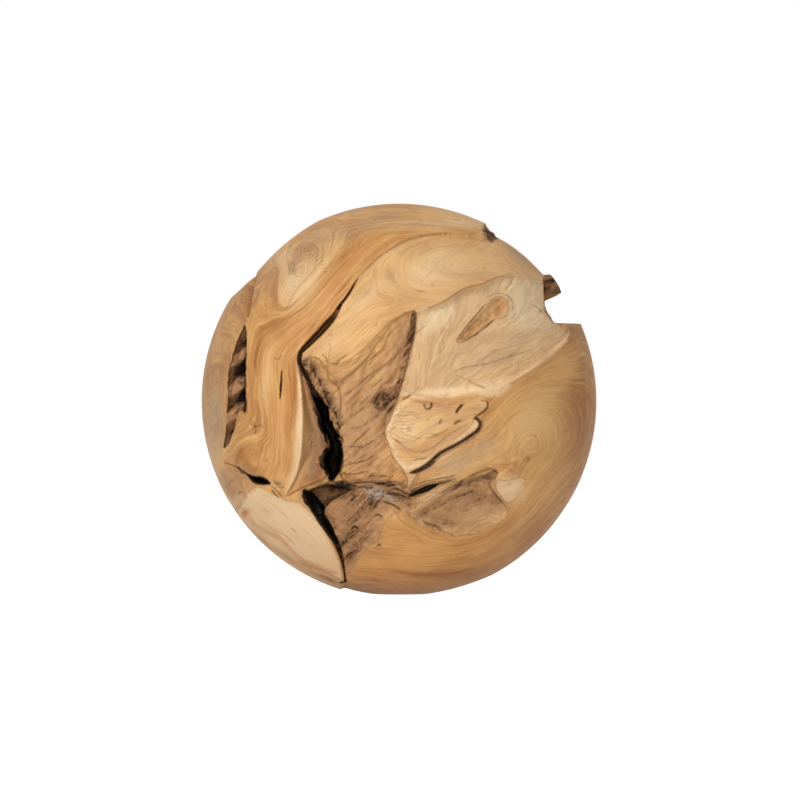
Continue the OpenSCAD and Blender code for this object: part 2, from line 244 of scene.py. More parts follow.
@dataclass
class Cut:
    """Something cut into the turned surface, laid out as in the part's source.

    Attributes:
        stations: its rim or path, as (x, z, shares[, side]).
        depth: depth for a share of 1.
        mm: place units in a millimetre.
        radial: whether it is cut towards the ball's centre, or straight back.
        ragged: how far its edge wanders.
        track: the stations laid out flat and smoothed, with their shares.
    """

    stations: Points
    depth: float
    mm: float
    radial: bool = False
    ragged: float = 0.0

    margin = 10.0  # how far from its box a cut's edge is still measured, in place units
    reach = 0.0  # how far outside its box it still cuts

    def lay_out(self, shares: int, middle: Sequence[float]) -> Array:
        """Lays the stations out flat.

        Args:
            shares: how many shares each station has.
            middle: the station that the flat plane touches the ball at.

        Returns:
            The stations' 2-D places and shares.
        """
        self.centre3 = skin(*middle[:2], *middle[2 + shares :])
        if self.radial:
            flat = tangent(np.array([skin(*p[:2], *p[2 + shares :]) for p in self.stations]), self.centre3)
        else:
            flat = np.array([p[:2] for p in self.stations])
        return np.column_stack([flat, [p[2 : 2 + shares] for p in self.stations]])

    def flat(self, points: Array) -> Array:
        """The 2-D places in which this cut is laid out."""
        return tangent(points, self.centre3) if self.radial else points[:, [0, 2]]

    def over(self, points: Array, margin: float, plain: float, work: Callable[[Array], Array]) -> Array:
        """Works values out in and near the cut's box, and leaves the rest plain.

        Args:
            points: points of the surface.
            margin: how far outside its box the cut still counts.
            plain: the value elsewhere.
            work: gives the values at flat places.

        Returns:
            One value a point.
        """
        flat = self.flat(points)
        low, high = self.track[:, :2].min(0) - margin, self.track[:, :2].max(0) + margin
        near = ((flat > low) & (flat < high)).all(1)
        out = np.full(len(points), plain)
        if near.any():
            out[near] = work(flat[near])
        return out

    def inward(self, flat: Array) -> Array:
        """How far each flat place lies inside the edge, in place units."""
        raise NotImplementedError

    def sink(self, flat: Array) -> Array:
        """How deep the cut is at each flat place, in place units."""
        raise NotImplementedError

    def edge_gap(self, flat: Array) -> Array:
        """How far each flat place lies from the edge, in place units."""
        raise NotImplementedError

    def drop(self, points: Array) -> Array:
        """How deep the cut is under each point, in place units."""
        return self.over(points, self.reach, 0.0, self.sink)

    def nearness(self, points: Array) -> Array:
        """How far each point lies from the edge, in place units."""
        return self.over(points, self.margin, FAR, self.edge_gap)

    def inside(self, points: Array, soft: float, shift: float = 0.0) -> Array:
        """A mask of the cut.

        Args:
            points: points of the surface.
            soft: width of the mask's edge in millimetres.
            shift: how far the edge is moved inwards in millimetres.

        Returns:
            1 inside, 0 outside.
        """
        edge = soft * self.mm / 2
        return self.over(points, 6 + abs(shift) * self.mm, 0.0,
                         lambda flat: smoothstep(-edge, edge, self.inward(flat) - shift * self.mm))


@dataclass(frozen=True)
class Streaks:
    """A torn or split surface: raised fibres that run one way, in millimetres.

    Attributes:
        angle: the fibres' direction, in degrees up from the right.
        width: how far apart the fibres lie.
        length: how long they run.
        height: how far they stand up or lie down.
        lumps: height of the coarser lumps under them.
    """

    angle: float
    width: float
    length: float
    height: float
    lumps: float = 0.0


@dataclass
class Hollow(Cut):
    """A hollow: each station of its rim has its share of the depth.

    Attributes:
        middle: its lowest place, written as a station.
        roundness: over 1 for a bowl, under 1 for a fold.
        lip: width over which the rim rolls over.
        streaks: its torn surface, if it has one.
    """

    middle: Sequence[float] = ()
    roundness: float = 2.0
    lip: float = 1.0
    streaks: Streaks | None = None

    noise = Noise(3)
    rag_size = 5.5  # of the rim's bends, in millimetres
    bend_size = 14  # of the torn fibres' bends
    lump_size = 7

    def __post_init__(self) -> None:
        """Lays the rim out flat, round its middle."""
        self.reach = 4 + self.lip * self.mm
        rim = self.lay_out(1, self.middle)
        self.centre = np.zeros(2) if self.radial else np.array(self.middle[:2], float)
        self.track = smooth_closed(smooth_closed(rim))

    def measure(self, flat: Array) -> tuple[Array, Array, Array]:
        """Measures places against the rim.

        Args:
            flat: 2-D places.

        Returns:
            The distance in from the rim, how far they are on the way from the rim to the
            middle, from 0 to 1, and the rim's share of the depth on that way.
        """
        points, share = self.track[:, :2], self.track[:, 2]
        ends, end_share = np.roll(points, -1, 0), np.roll(share, -1)
        away = flat - self.centre
        reach = np.maximum(np.linalg.norm(away, axis=1), 1e-6)
        ray = away / reach[:, None]
        a, b = points - self.centre, ends - self.centre
        turn = ray[:, None, 0] * (b - a)[None, :, 1] - ray[:, None, 1] * (b - a)[None, :, 0]
        turn = np.where(np.abs(turn) < TINY, TINY, turn)
        s = -(ray[:, None, 0] * a[None, :, 1] - ray[:, None, 1] * a[None, :, 0]) / turn
        hit = a[None] + s[..., None] * (b - a)[None]
        radius = (hit * ray[:, None, :]).sum(2)
        radius = np.where((s >= -1e-6) & (s <= 1 + 1e-6) & (radius > 0), radius, -1)
        pick = radius.argmax(1)
        rows = np.arange(len(flat))
        rim_reach = np.maximum(radius[rows, pick], 1e-6)
        part = np.clip(s[rows, pick], 0, 1)
        rim_share = share[pick] * (1 - part) + end_share[pick] * part
        gap, _, _ = to_segments(flat, points, ends)
        return np.where(reach < rim_reach, gap, -gap), np.clip(1 - reach / rim_reach, 0, 1), rim_share

    def wander(self, flat: Array) -> Array:
        """Shifts places so that the rim looks ragged.

        Args:
            flat: 2-D places.

        Returns:
            The shifted places.
        """
        if not self.ragged:
            return flat
        coarse = flat3(flat / (self.rag_size * self.mm), 1.7)
        shift = np.column_stack([self.noise.rough(coarse), self.noise.rough(coarse + 31.7)])
        return flat + shift * (self.ragged * self.mm)

    def inward(self, flat: Array) -> Array:
        """How far each flat place lies inside the rim, in place units."""
        return self.measure(self.wander(flat))[0]

    def sink(self, flat: Array) -> Array:
        """Gives the hollow's floor, with its lip and its torn fibres.

        Args:
            flat: 2-D places.

        Returns:
            How deep it is at each, in place units.
        """
        inward, way, rim_share = self.measure(self.wander(flat))
        fall = 1 - (1 - way) ** self.roundness
        deep = self.depth * (rim_share * (1 - fall) + self.middle[2] * fall)
        lip = self.lip * self.mm
        if self.streaks:
            deep = deep + self.torn(flat) * smoothstep(0, 3 * self.mm, inward)
        return deep * smoothstep(-0.35 * lip, 0.65 * lip, inward) * self.mm

    def torn(self, flat: Array) -> Array:
        """Gives the relief of the torn fibres.

        Args:
            flat: 2-D places.

        Returns:
            How far they sink at each, in millimetres.
        """
        s = self.streaks
        turn = math.radians(s.angle)
        along = (flat[:, 0] * math.cos(turn) + flat[:, 1] * math.sin(turn)) / self.mm
        across = (-flat[:, 0] * math.sin(turn) + flat[:, 1] * math.cos(turn)) / self.mm
        bend = self.noise.at(flat3(flat / (self.bend_size * self.mm), 5.2)) * s.width * 1.5
        fibres = np.column_stack([along / s.length, (across + bend) / s.width, np.zeros(len(flat))])
        lumps = flat3(flat / (self.lump_size * self.mm), 9.1)
        return s.height * self.noise.rough(fibres) + s.lumps * self.noise.rough(lumps)

    def edge_gap(self, flat: Array) -> Array:
        """How far each flat place lies from the rim, in place units."""
        rim = self.track[:, :2]
        return to_segments(flat, rim, np.roll(rim, -1, 0))[0]


@dataclass
class Cleft(Cut):
    """A cleft or crack: each station of its path has its shares of the gap and the depth.

    Attributes:
        gap: width for a share of 1.
    """

    gap: float = 1.0

    noise = Noise(11)
    rag_size = 5  # of the right edge's bends, in millimetres
    left_share = 0.4  # how much less the left edge wanders
    streaks = None
    section = (0, 0.33, 0.65, 0.95, 1.15), (1, 1, 0.6, 0.06, 0)  # from the path outwards, and how deep

    def __post_init__(self) -> None:
        """Lays the path out flat."""
        self.reach = self.gap * self.mm + 2
        self.track = smooth_open(self.lay_out(2, self.stations[len(self.stations) // 2]))

    def measure(self, flat: Array) -> tuple[Array, Array, Array]:
        """Measures places against the path.

        Args:
            flat: 2-D places.

        Returns:
            The distance from the path in halves of the gap, the gap's half and the depth there.
        """
        s = self.track
        gap, pick, part = to_segments(flat, s[:-1, :2], s[1:, :2])
        half = self.gap / 2 * (s[pick, 2] * (1 - part) + s[pick + 1, 2] * part) * self.mm
        deep = self.depth * (s[pick, 3] * (1 - part) + s[pick + 1, 3] * part) * self.mm
        if self.ragged:
            right = flat[:, 0] - (s[pick, 0] * (1 - part) + s[pick + 1, 0] * part) > 0
            wild = self.ragged * np.minimum(deep / (self.depth * self.mm), 1) ** 3
            wander = self.noise.rough(flat3(flat / (self.rag_size * self.mm), 2.2)) * wild * self.mm
            gap = np.where(right, gap + wander, gap + wander * self.left_share)
        return gap / np.maximum(half, 1e-6), half, deep

    def inward(self, flat: Array) -> Array:
        """How far each flat place lies inside the cleft's edges, in place units."""
        off, half, _ = self.measure(flat)
        return half - off * half

    def sink(self, flat: Array) -> Array:
        """How deep the cleft is at each flat place, in place units."""
        off, _, deep = self.measure(flat)
        return deep * np.interp(off, *self.section)

    def edge_gap(self, flat: Array) -> Array:
        """How far each flat place lies from the cleft's edges, in place units."""
        return np.abs(self.inward(flat))


@dataclass
class Notch:
    """The notch that runs from the scoop over the outline to the back.

    Attributes:
        depth: how deep it cuts into the outline.
        mm: place units in a millimetre.
        sections: along the ball, (y, top z, low z, shift of the floor).
        slant: how much its walls rise to one unit outwards.
        chamfer: how far the floor's lower corner is filled.
        end: how far in front and behind it ends.
    """

    depth: float
    mm: float
    sections: Points = (
        (-72, 66, 39.5, 0), (-30, 64, 38.5, 0), (-2, 61, 38, 0), (12, 53.5, 38, 0),
        (45, 51, 40, 2), (75, 51, 42, 28),
    )
    slant: float = 0.17
    chamfer: float = 4.5
    end: float = 74.0

    def measure(self, points: Array) -> tuple[Array, Array, Array, Array]:
        """Measures points against the notch.

        Args:
            points: points of the ball's surface.

        Returns:
            How far inside they are, the floor's x, and the low edge's z at the floor and there.
        """
        s = np.array(self.sections, float)
        x, y, z = points.T
        top, low, shift = (np.interp(y, s[:, 0], s[:, k]) for k in (1, 2, 3))
        floor = math.sqrt(R * R - 50 * 50) - self.depth * self.mm + shift
        beyond = np.maximum(x - floor, 0)
        low_here = low + 2 * np.clip((beyond - self.chamfer) / 31, 0, 1)
        inside = np.minimum(np.minimum(top + self.slant * beyond - z, z - low_here), x - floor)
        return np.where(np.abs(y) < self.end, inside, -10), floor, low, low_here

    def cut(self, points: Array) -> Array:
        """Moves points down to the notch's floor.

        Args:
            points: points of the ball's surface.

        Returns:
            The moved points.
        """
        inside, floor, low, low_here = self.measure(points)
        x, _, z = points.T
        far = np.zeros(len(points))
        for _ in range(4):
            chamfer = self.chamfer * np.clip((low + 6 - (z - self.slant * far)) / 6, 0, 1)
            far = np.maximum(x - floor - chamfer, 0)
        far = np.minimum(far, np.maximum((z - low_here) / (self.slant - 0.065), 0))
        far = np.where(inside > 0, far, 0)
        return points - far[:, None] * np.array([1, 0, self.slant])


class Channel(Enum):
    """What a vertex of the ball carries for its material."""

    FIGURE = "figure"  # age of the growth layer
    TONE = "tone"  # lighter or darker
    SAP = "sap"  # pale sapwood, and painted highlights on rounded rims
    WARM = "warm"  # orange heartwood, and painted shade on the island's hollow face
    GREY = "grey"  # weathered
    BARK = "bark"  # brown wood next to the bark
    SHADE = "shade"  # dark cracks and pits, and painted shade deep in the openings and under lips
    DUST = "dust"  # cobweb and dust
    CALM = "calm"  # how faint the growth lines are
    COMB = "comb"  # how rough the gouge and the sander left the wood


@dataclass(frozen=True)
class Stain:
    """A soft oval of one channel: x, z, half length, half width, angle, amount."""

    channel: Channel
    spots: Points

    fall = 1.4  # how soon a spot fades
    fray = 0.35  # how much its edge breaks up

    def paint(self, places: Array, wave: Array) -> Array:
        """The channel's change at each place.

        Args:
            places: 2-D places.
            wave: noise that breaks up the edges.

        Returns:
            The amounts.
        """
        total = np.zeros(len(places))
        for x, z, long, wide, angle, amount in self.spots:
            turn = math.radians(angle)
            dx, dz = places[:, 0] - x, places[:, 1] - z
            a = (dx * math.cos(turn) + dz * math.sin(turn)) / long
            b = (-dx * math.sin(turn) + dz * math.cos(turn)) / wide
            total += amount * np.exp(-((a * a + b * b) * (1 + self.fray * wave)) * self.fall)
        return total


@dataclass(frozen=True)
class Line:
    """A crack, scratch, thin band, painted shadow or painted highlight along a path.

    Attributes:
        channel: what it carries.
        width: width in millimetres.
        amount: how much of the channel it gets.
        depth: how deep it is cut, in millimetres.
        path: its points, one a row.
    """

    channel: Channel
    width: float
    amount: float
    depth: float
    path: Array

    def distance(self, places: Array, reach: float) -> Array:
        """Measures places against the path, whose ends taper.

        Args:
            places: 2-D places.
            reach: how far outside the path's box they are still measured.

        Returns:
            The distance from the path, or a large number beyond reach.
        """
        p = smooth_open(self.path)
        low, high = p.min(0) - reach, p.max(0) + reach
        near = ((places > low) & (places < high)).all(1)
        out = np.full(len(places), FAR)
        if near.any():
            gap, pick, part = to_segments(places[near], p[:-1], p[1:])
            along = (pick + part) / (len(p) - 1)
            taper = np.minimum(np.minimum(along, 1 - along) * 6, 1)
            out[near] = gap + (1 - taper) * reach * 0.12
        return out


@dataclass
class Figure:
    """The growth layers of one lobe, as a map of their age.

    Attributes:
        strokes: lines of equal age that show in the surface, as (age, x, z, x, z...).
        rings: growth rings to one step of age.
        reach: the size, in place units, that the fit works in.
    """

    strokes: Points
    rings: float = 1.0
    reach: float = 40.0

    slack = 0.002  # how far the fit may miss the strokes

    def __post_init__(self) -> None:
        """Fits a thin plate through the strokes."""
        paths = [smooth_open(np.reshape(stroke[1:], (-1, 2)).astype(float)) for stroke in self.strokes]
        ages = [np.full(len(p), float(stroke[0])) for p, stroke in zip(paths, self.strokes, strict=True)]
        self.knots = np.vstack(paths)
        n = len(self.knots)
        flat = np.column_stack([np.ones(n), self.knots / self.reach])
        system = np.zeros((n + 3, n + 3))
        system[:n, :n] = self.plate(self.knots) + np.eye(n) * self.slack
        system[:n, n:], system[n:, :n] = flat, flat.T
        goal = np.concatenate([np.concatenate(ages) * self.rings, np.zeros(3)])
        self.weights = np.linalg.solve(system, goal)

    def plate(self, places: Array) -> Array:
        """The plate's kernel between places and the knots."""
        gap2 = ((places[:, None] - self.knots[None]) ** 2).sum(2) / self.reach**2
        return gap2 * np.log(np.maximum(gap2, 1e-12)) / 2

    def age(self, places: Array) -> Array:
        """The age at each place."""
        flat = np.column_stack([np.ones(len(places)), places / self.reach])
        return self.plate(places) @ self.weights[:-3] + flat @ self.weights[-3:]


def within(places: Array, outline: Points) -> Array:
    """Marks the places inside a closed outline.

    Args:
        places: 2-D places.
        outline: its corners.

    Returns:
        True inside.
    """
    o = np.array(outline, float)
    nxt = np.roll(o, -1, 0)
    x, z = places[:, :1], places[:, 1:2]
    crosses = (o[None, :, 1] > z) != (nxt[None, :, 1] > z)
    rise = np.where(np.abs(nxt[:, 1] - o[:, 1]) < TINY, TINY, nxt[:, 1] - o[:, 1])
    at = o[None, :, 0] + (z - o[None, :, 1]) / rise[None] * (nxt[None, :, 0] - o[None, :, 0])
    return (crosses & (x < at)).sum(1) % 2 == 1


# Torn wood, with long fibres and with short ones.
TORN = Streaks(angle=45, width=3.8, length=34, height=1.9, lumps=1.7)
CHUNKY = Streaks(angle=34, width=3.6, length=13, height=1.9, lumps=2.0)

# What is cut towards the ball's centre: kind, depth, make, and stations with their shares and, behind, a 1.
ROUND_CUTS = {
    "belly": (Hollow, 2.4, dict(middle=(-12, -97, 1), lip=3), [
        (-26, -91, 1), (-17, -89, 0.5), (-5, -87, 0.15), (10, -86, 0.06), (25, -86, 0.04),
        (38, -86.5, 0.04), (46, -87.5, 0.04), (45, -88.5, 0.04, 1), (33, -91, 0.04, 1), (18, -93, 0.06, 1),
        (0, -94, 0.1, 1), (-18, -94, 0.2, 1), (-29, -94.5, 0.5, 1), (-29, -95.5, 1)]),
    "fold": (Hollow, 9, dict(middle=(-76, 62, 1), roundness=0.45, lip=9), [
        (-75.5, 40, 0.15), (-78, 45, 0.15), (-81, 49, 0.05), (-85, 51.5, 0.04), (-84, 52, 0.04, 1),
        (-78, 54, 0.04, 1), (-70, 57, 0.04, 1), (-59, 66, 0.03, 1), (-49, 78, 0.01, 1), (-40, 90, 0, 1),
        (-42, 89, 0), (-56, 80, 0.02), (-67, 64, 0.08), (-71.5, 52, 0.12)]),
    "fold_seam": (Cleft, 12, dict(gap=14), [
        (-76.6, 43, 0.3, 0.5), (-77, 50, 0.7, 0.9), (-77.3, 57, 1, 1), (-77.5, 62.5, 1, 1),
        (-75, 65.5, 1, 1, 1), (-70, 68.5, 0.7, 0.7, 1), (-63, 71, 0.3, 0.3, 1)]),
    "shoulder": (Hollow, 5, dict(middle=(54, 75, 0.95), lip=1.5), [
        (-2, 77, 0.1), (9, 82.5, 0.35), (20, 83.8, 0.55), (31, 84.5, 0.8), (40, 84.5, 1), (46, 85, 1.1),
        (49.5, 84.5, 1, 1), (54, 77, 0.6, 1), (61, 70.5, 0.5, 1), (69, 65.5, 0.55, 1), (74, 64.5, 0.8, 1),
        (76, 61.5, 0.85), (73, 59.5, 0.5), (66, 60.5, 0.25), (54.5, 62.5, 0.12), (40, 60, 0.08),
        (24, 62, 0.05), (8, 68, 0.05)]),
    "nick": (Hollow, 5.5, dict(middle=(46.5, 85.5, 1), roundness=0.4, lip=0.6), [
        (42.6, 85.6, 0.6), (43.2, 88.5, 0.6), (44.5, 89, 0.5, 1), (48, 85.5, 0.5, 1), (52, 80.5, 0.4, 1),
        (50, 82.8, 0.7), (46.4, 84, 0.6)]),
}

# What is cut straight back into the open face, written the same way.
FRONT_CUTS = {
    "top_seam": (Cleft, 9, dict(gap=1.6, ragged=0.3), [
        (-20.5, 61, 0.5, 0.5), (-22.8, 57.4, 0.9, 0.8), (-25, 53.5, 1.1, 1), (-28, 49.5, 1.4, 1.1)]),
    "scoop": (Hollow, 10, dict(middle=(50, 34, 1), lip=2.6,
        streaks=Streaks(angle=38, width=8, length=60, height=0.9, lumps=0.3)), [
        (6, 42, 0.12), (12, 45, 0.2), (22, 49.5, 0.5), (33, 56.5, 0.6), (40.5, 58, 0.6), (49, 62, 0.6),
        (58, 64, 0.5), (66, 61.5, 0.6), (72.5, 60, 0.9), (76.5, 51, 1.2), (80, 43, 1.1), (84, 37, 0.7),
        (85.5, 33, 0.3), (77.5, 25.5, 0.5), (65, 16.5, 0.6), (52, 8.5, 0.7), (45, 5.5, 0.7),
        (36, 3.8, 0.65), (23, 0.8, 0.6), (9, 3, 0.4), (1, 6, 0.15), (1.5, 12, 0.1), (3, 21, 0.1),
        (5, 33, 0.1)]),
    "knot": (Hollow, 11, dict(middle=(44, 42.5, 1), lip=4, ragged=1.2, streaks=TORN), [
        (28.5, 29.5, 0.8), (31, 34.5, 0.95), (40, 43.5, 1), (46.5, 50.5, 0.95), (51, 52, 0.9),
        (54.5, 48.5, 0.9), (53.5, 42.5, 0.9), (46, 39.5, 0.95), (38.5, 33, 0.9), (32.5, 29.5, 0.8)]),
    "wedge": (Hollow, 12, dict(middle=(-20, -4, 0.9), lip=1.6, ragged=0.6, streaks=TORN), [
        (-43.5, 22, 0.1), (-34.5, 18.5, 0.08), (-25.5, 20.5, 0.08), (-16, 28, 0.1), (-5.5, 38.5, 0.15),
        (0, 42, 0.2), (7.5, 45, 0.35), (8, 36, 0.7), (6.5, 28, 0.9), (3.5, 18, 1), (2, 9, 1), (-1, 1.5, 1),
        (-4, -8, 0.95), (-7, -14.5, 0.9), (-5.5, -21, 0.9), (-2, -29, 0.8), (3, -36, 0.6),
        (3.5, -42.5, 0.45), (-5.5, -40.5, 0.45), (-12.5, -39.5, 0.5), (-21, -41, 0.6), (-28.5, -38, 0.8),
        (-30.5, -27.5, 1), (-31, -19, 1), (-35, -10, 1), (-39.5, -1.5, 0.85), (-43.5, 8, 0.65)]),
    "groove": (Cleft, 9, dict(gap=1.6, ragged=0.9), [
        (-6.5, 28.5, 0.4, 0.5), (-14.5, 22, 1, 0.8), (-23.5, 14.5, 1.1, 0.8), (-30.5, 8.5, 0.8, 0.6)]),
    "patch": (Hollow, 5.5, dict(middle=(31, -53, 0.75), lip=4, ragged=1.2,
        streaks=Streaks(angle=22, width=3, length=20, height=0.9, lumps=1.0)), [
        (4.5, -54.5, 0.3), (12, -49, 0.7), (21, -44.3, 0.9), (28.5, -40.3, 1), (37.5, -38.3, 1),
        (43, -36.8, 1), (49, -35.5, 0.9), (47, -41.5, 0.85), (49.5, -48.5, 0.8), (53.5, -54, 0.7),
        (52, -59.5, 0.3), (38, -66.5, 0.6), (27.5, -67.5, 0.6), (19, -64, 0.45), (9, -61, 0.3)]),
    "inset": (Hollow, 2, dict(middle=(55.5, -44, 0.8), lip=1.2), [
        (48, -42.5, 1), (49.5, -39.3, 1), (54, -39.8, 1), (59, -38.2, 1), (63, -39, 1), (62.5, -44, 1),
        (58, -49, 1), (53.8, -51, 1), (50.5, -47.5, 1)]),
    "field": (Hollow, 7, dict(middle=(-19, -58, 0.85), lip=3.5, ragged=1.2, streaks=CHUNKY), [
        (-22.5, -43, 0.9), (-12.5, -41.5, 0.7), (-4, -43, 0.7), (4, -47.5, 0.8), (9, -51, 0.6),
        (3, -55, 0.15), (-4.5, -58, 0.08), (-9, -65, 0.06), (-11.5, -72, 0.06), (-19, -76.5, 0.08),
        (-24, -85.5, 0.08), (-27.5, -85.5, 0.3), (-30, -76, 0.9), (-33, -69, 1), (-36, -61.5, 1),
        (-36, -53.5, 1), (-29, -47.5, 1)]),
    "shelf": (Hollow, 5, dict(middle=(34, -29.5, 0.7), lip=2.6, ragged=0.3,
        streaks=Streaks(angle=28, width=3, length=24, height=0.5, lumps=0.6)), [
        (5, -45, 0.9), (9.5, -35.8, 1.4), (15.5, -31.5, 1.9), (21.5, -26.5, 1.7), (29.5, -22.2, 1.8),
        (37, -17.8, 1.9), (40.5, -13.5, 1.6), (42.5, -6, 0.7), (50, -5, 0.1), (56, -15, 0.08),
        (58, -27, 0.1), (54, -34, 0.4), (46, -37.5, 0.8), (37, -39.5, 0.9), (28, -41.5, 0.9),
        (19, -46.5, 0.9), (11, -50.5, 0.8)]),
    "island_gap": (Cleft, 11, dict(gap=2.6, ragged=0.3), [
        (5.2, -35.8, 0.2, 0.3), (7, -35.2, 0.8, 0.7), (11, -33.6, 1.4, 1), (15, -31, 1.6, 1),
        (20.5, -25.8, 0.9, 1), (28.5, -21.6, 0.8, 1), (36, -17, 0.9, 1), (39.7, -13.8, 1, 1),
        (40.4, -10.5, 0.8, 0.8), (38.2, -8.4, 0.5, 0.7)]),
    "island_corner": (Cleft, 9, dict(gap=2), [
        (37, -9, 0.5, 0.7), (39.8, -6.6, 0.6, 0.8), (43, -4.4, 0.7, 0.8), (44.2, -2, 0.8, 0.8),
        (43.4, 0, 0.5, 0.6), (41, 0.4, 0.3, 0.4)]),
    "ledge_slit": (Cleft, 11, dict(gap=3.4, ragged=0.3), [
        (5.2, -47.2, 0.5, 0.7), (9.5, -45.2, 1.3, 1), (14, -43.4, 1.6, 1.2), (17.6, -42, 1.1, 1),
        (20, -41, 0.35, 0.8), (27, -39.2, 0.14, 0.5)]),
    "face": (Hollow, 3.5, dict(middle=(-51, -65, 0.8), lip=3.5), [
        (-65, -46.5, 0.3), (-57, -49.8, 0.5), (-49.5, -50.8, 0.9), (-42.5, -57.5, 1.7), (-37.5, -65, 1.6),
        (-33, -74, 1.2), (-30, -81, 0.8), (-28.2, -88.5, 0.3), (-37, -87, 0.1), (-50, -81, 0.15),
        (-60, -75.5, 0.2), (-69, -67, 0.3), (-73, -59, 0.35), (-71.5, -51.5, 0.35)]),
    "heart": (Cleft, 64, dict(gap=16, ragged=2.0), [
        (-29, 48, 0.15, 0.15), (-32.5, 42, 0.3, 0.35), (-36, 38, 0.36, 0.6), (-40.5, 33, 0.32, 0.7),
        (-45.5, 28, 0.28, 0.7), (-49, 24, 0.22, 0.6), (-49.5, 19, 0.2, 0.5), (-46.5, 13, 0.25, 0.45),
        (-43.7, 7, 0.3, 0.5), (-41, 1.5, 0.42, 0.7), (-37.6, -4.6, 0.66, 0.9), (-36.8, -7.6, 0.5, 0.9),
        (-36.4, -11, 0.6, 1), (-33.4, -16.7, 0.6, 1), (-31.6, -21.8, 0.62, 1), (-32, -25.8, 0.84, 1),
        (-33.2, -29.9, 1.08, 1), (-32.6, -33.9, 0.8, 1), (-33, -37.5, 0.5, 0.9)]),
    "wall": (Hollow, 34, dict(middle=(-41, -20, 0.6), lip=3,
        streaks=Streaks(angle=80, width=6, length=22, height=0.25, lumps=0.9)), [
        (-50.5, 20.5, 0.04), (-47.3, 14.5, 0.25), (-44.5, 5.5, 0.4), (-41.1, -3, 0.7), (-38, -9, 0.85),
        (-36, -15, 1), (-34, -28, 1), (-34, -36, 0.9), (-41, -41, 0.75), (-48, -43.5, 0.5),
        (-57, -48, 0.08), (-52.5, -40, 0.05), (-49, -27, 0.05), (-48, -10, 0.05), (-48.5, 6, 0.05)]),
    "cave": (Hollow, 42, dict(middle=(-40, -49.5, 1), lip=1.4, ragged=0.7), [
        (-47.5, -46, 0.4), (-41, -43, 0.65), (-35, -41.5, 0.8), (-28, -42.5, 0.5), (-23, -44, 0.25),
        (-27.5, -46.5, 0.3), (-32.5, -49, 0.4), (-36, -52.5, 0.5), (-37.5, -57, 0.7), (-39.5, -60, 0.7),
        (-43, -55.5, 0.6), (-47, -50.5, 0.4)]),
    "crevice": (Cleft, 34, dict(gap=8, ragged=0.6), [
        (-47, -45, 0.4, 0.4), (-44.6, -48.4, 0.7, 0.6), (-42, -52, 0.9, 0.8), (-38.6, -58.5, 1, 1),
        (-35, -64, 0.85, 1), (-31.6, -70, 0.6, 0.9), (-29.4, -76, 0.45, 0.75), (-28, -82, 0.22, 0.5),
        (-27.4, -86.5, 0.12, 0.35), (-26.9, -91, 0.1, 0.3)]),
    "side": (Hollow, 42, dict(middle=(-81, 6, 1), lip=1.2, ragged=0.6), [
        (-77, 38, 0.2), (-76.5, 26, 0.9), (-76.5, 10, 1), (-76.5, -5.5, 0.6), (-79, -4.5, 0.7),
        (-81.5, -9, 0.8), (-83, -15, 0.7), (-85.5, -21, 0.4), (-88, -23.5, 0.2), (-87, -17, 0.4),
        (-86.5, -9.5, 0.6), (-85.5, 2, 0.7), (-85.5, 12, 0.6), (-82.5, 25, 0.6)]),
    "hole": (Cleft, 24, dict(gap=5, ragged=0.5), [
        (-81, -33, 0.08, 0.1), (-78, -35.2, 0.14, 0.2), (-75, -37.4, 0.4, 0.6), (-72, -39.3, 1.1, 1),
        (-68, -40, 1.2, 1), (-65, -41, 0.4, 0.5)]),
    "check": (Cleft, 9, dict(gap=1.6, ragged=0.3), [
        (-58.5, 15, 0.5, 0.6), (-58.7, 10, 1, 1), (-59, 5, 1, 1), (-59.3, 1, 0.5, 0.6)]),
}

# Paths that several lines share, as x, z, x, z... The cream band and the scoop's rim carry painted highlights
# on their rounded lips.
CREAM_LIT_BAND = 7.6, 2, 14, 2.6, 20, 3.2, 26, 3.2, 32, 5, 38, 5.6, 44, 4.2, 49, 5, 54, 8
SCOOP_RIM = 46, 5.5, 56, 10.5, 66, 16.5, 76, 23.5, 84, 30.5
FIELD_LIP = -31, -40.6, -22, -41.4, -14, -40.6, -5, -41.6, 2, -43.4, 6, -46
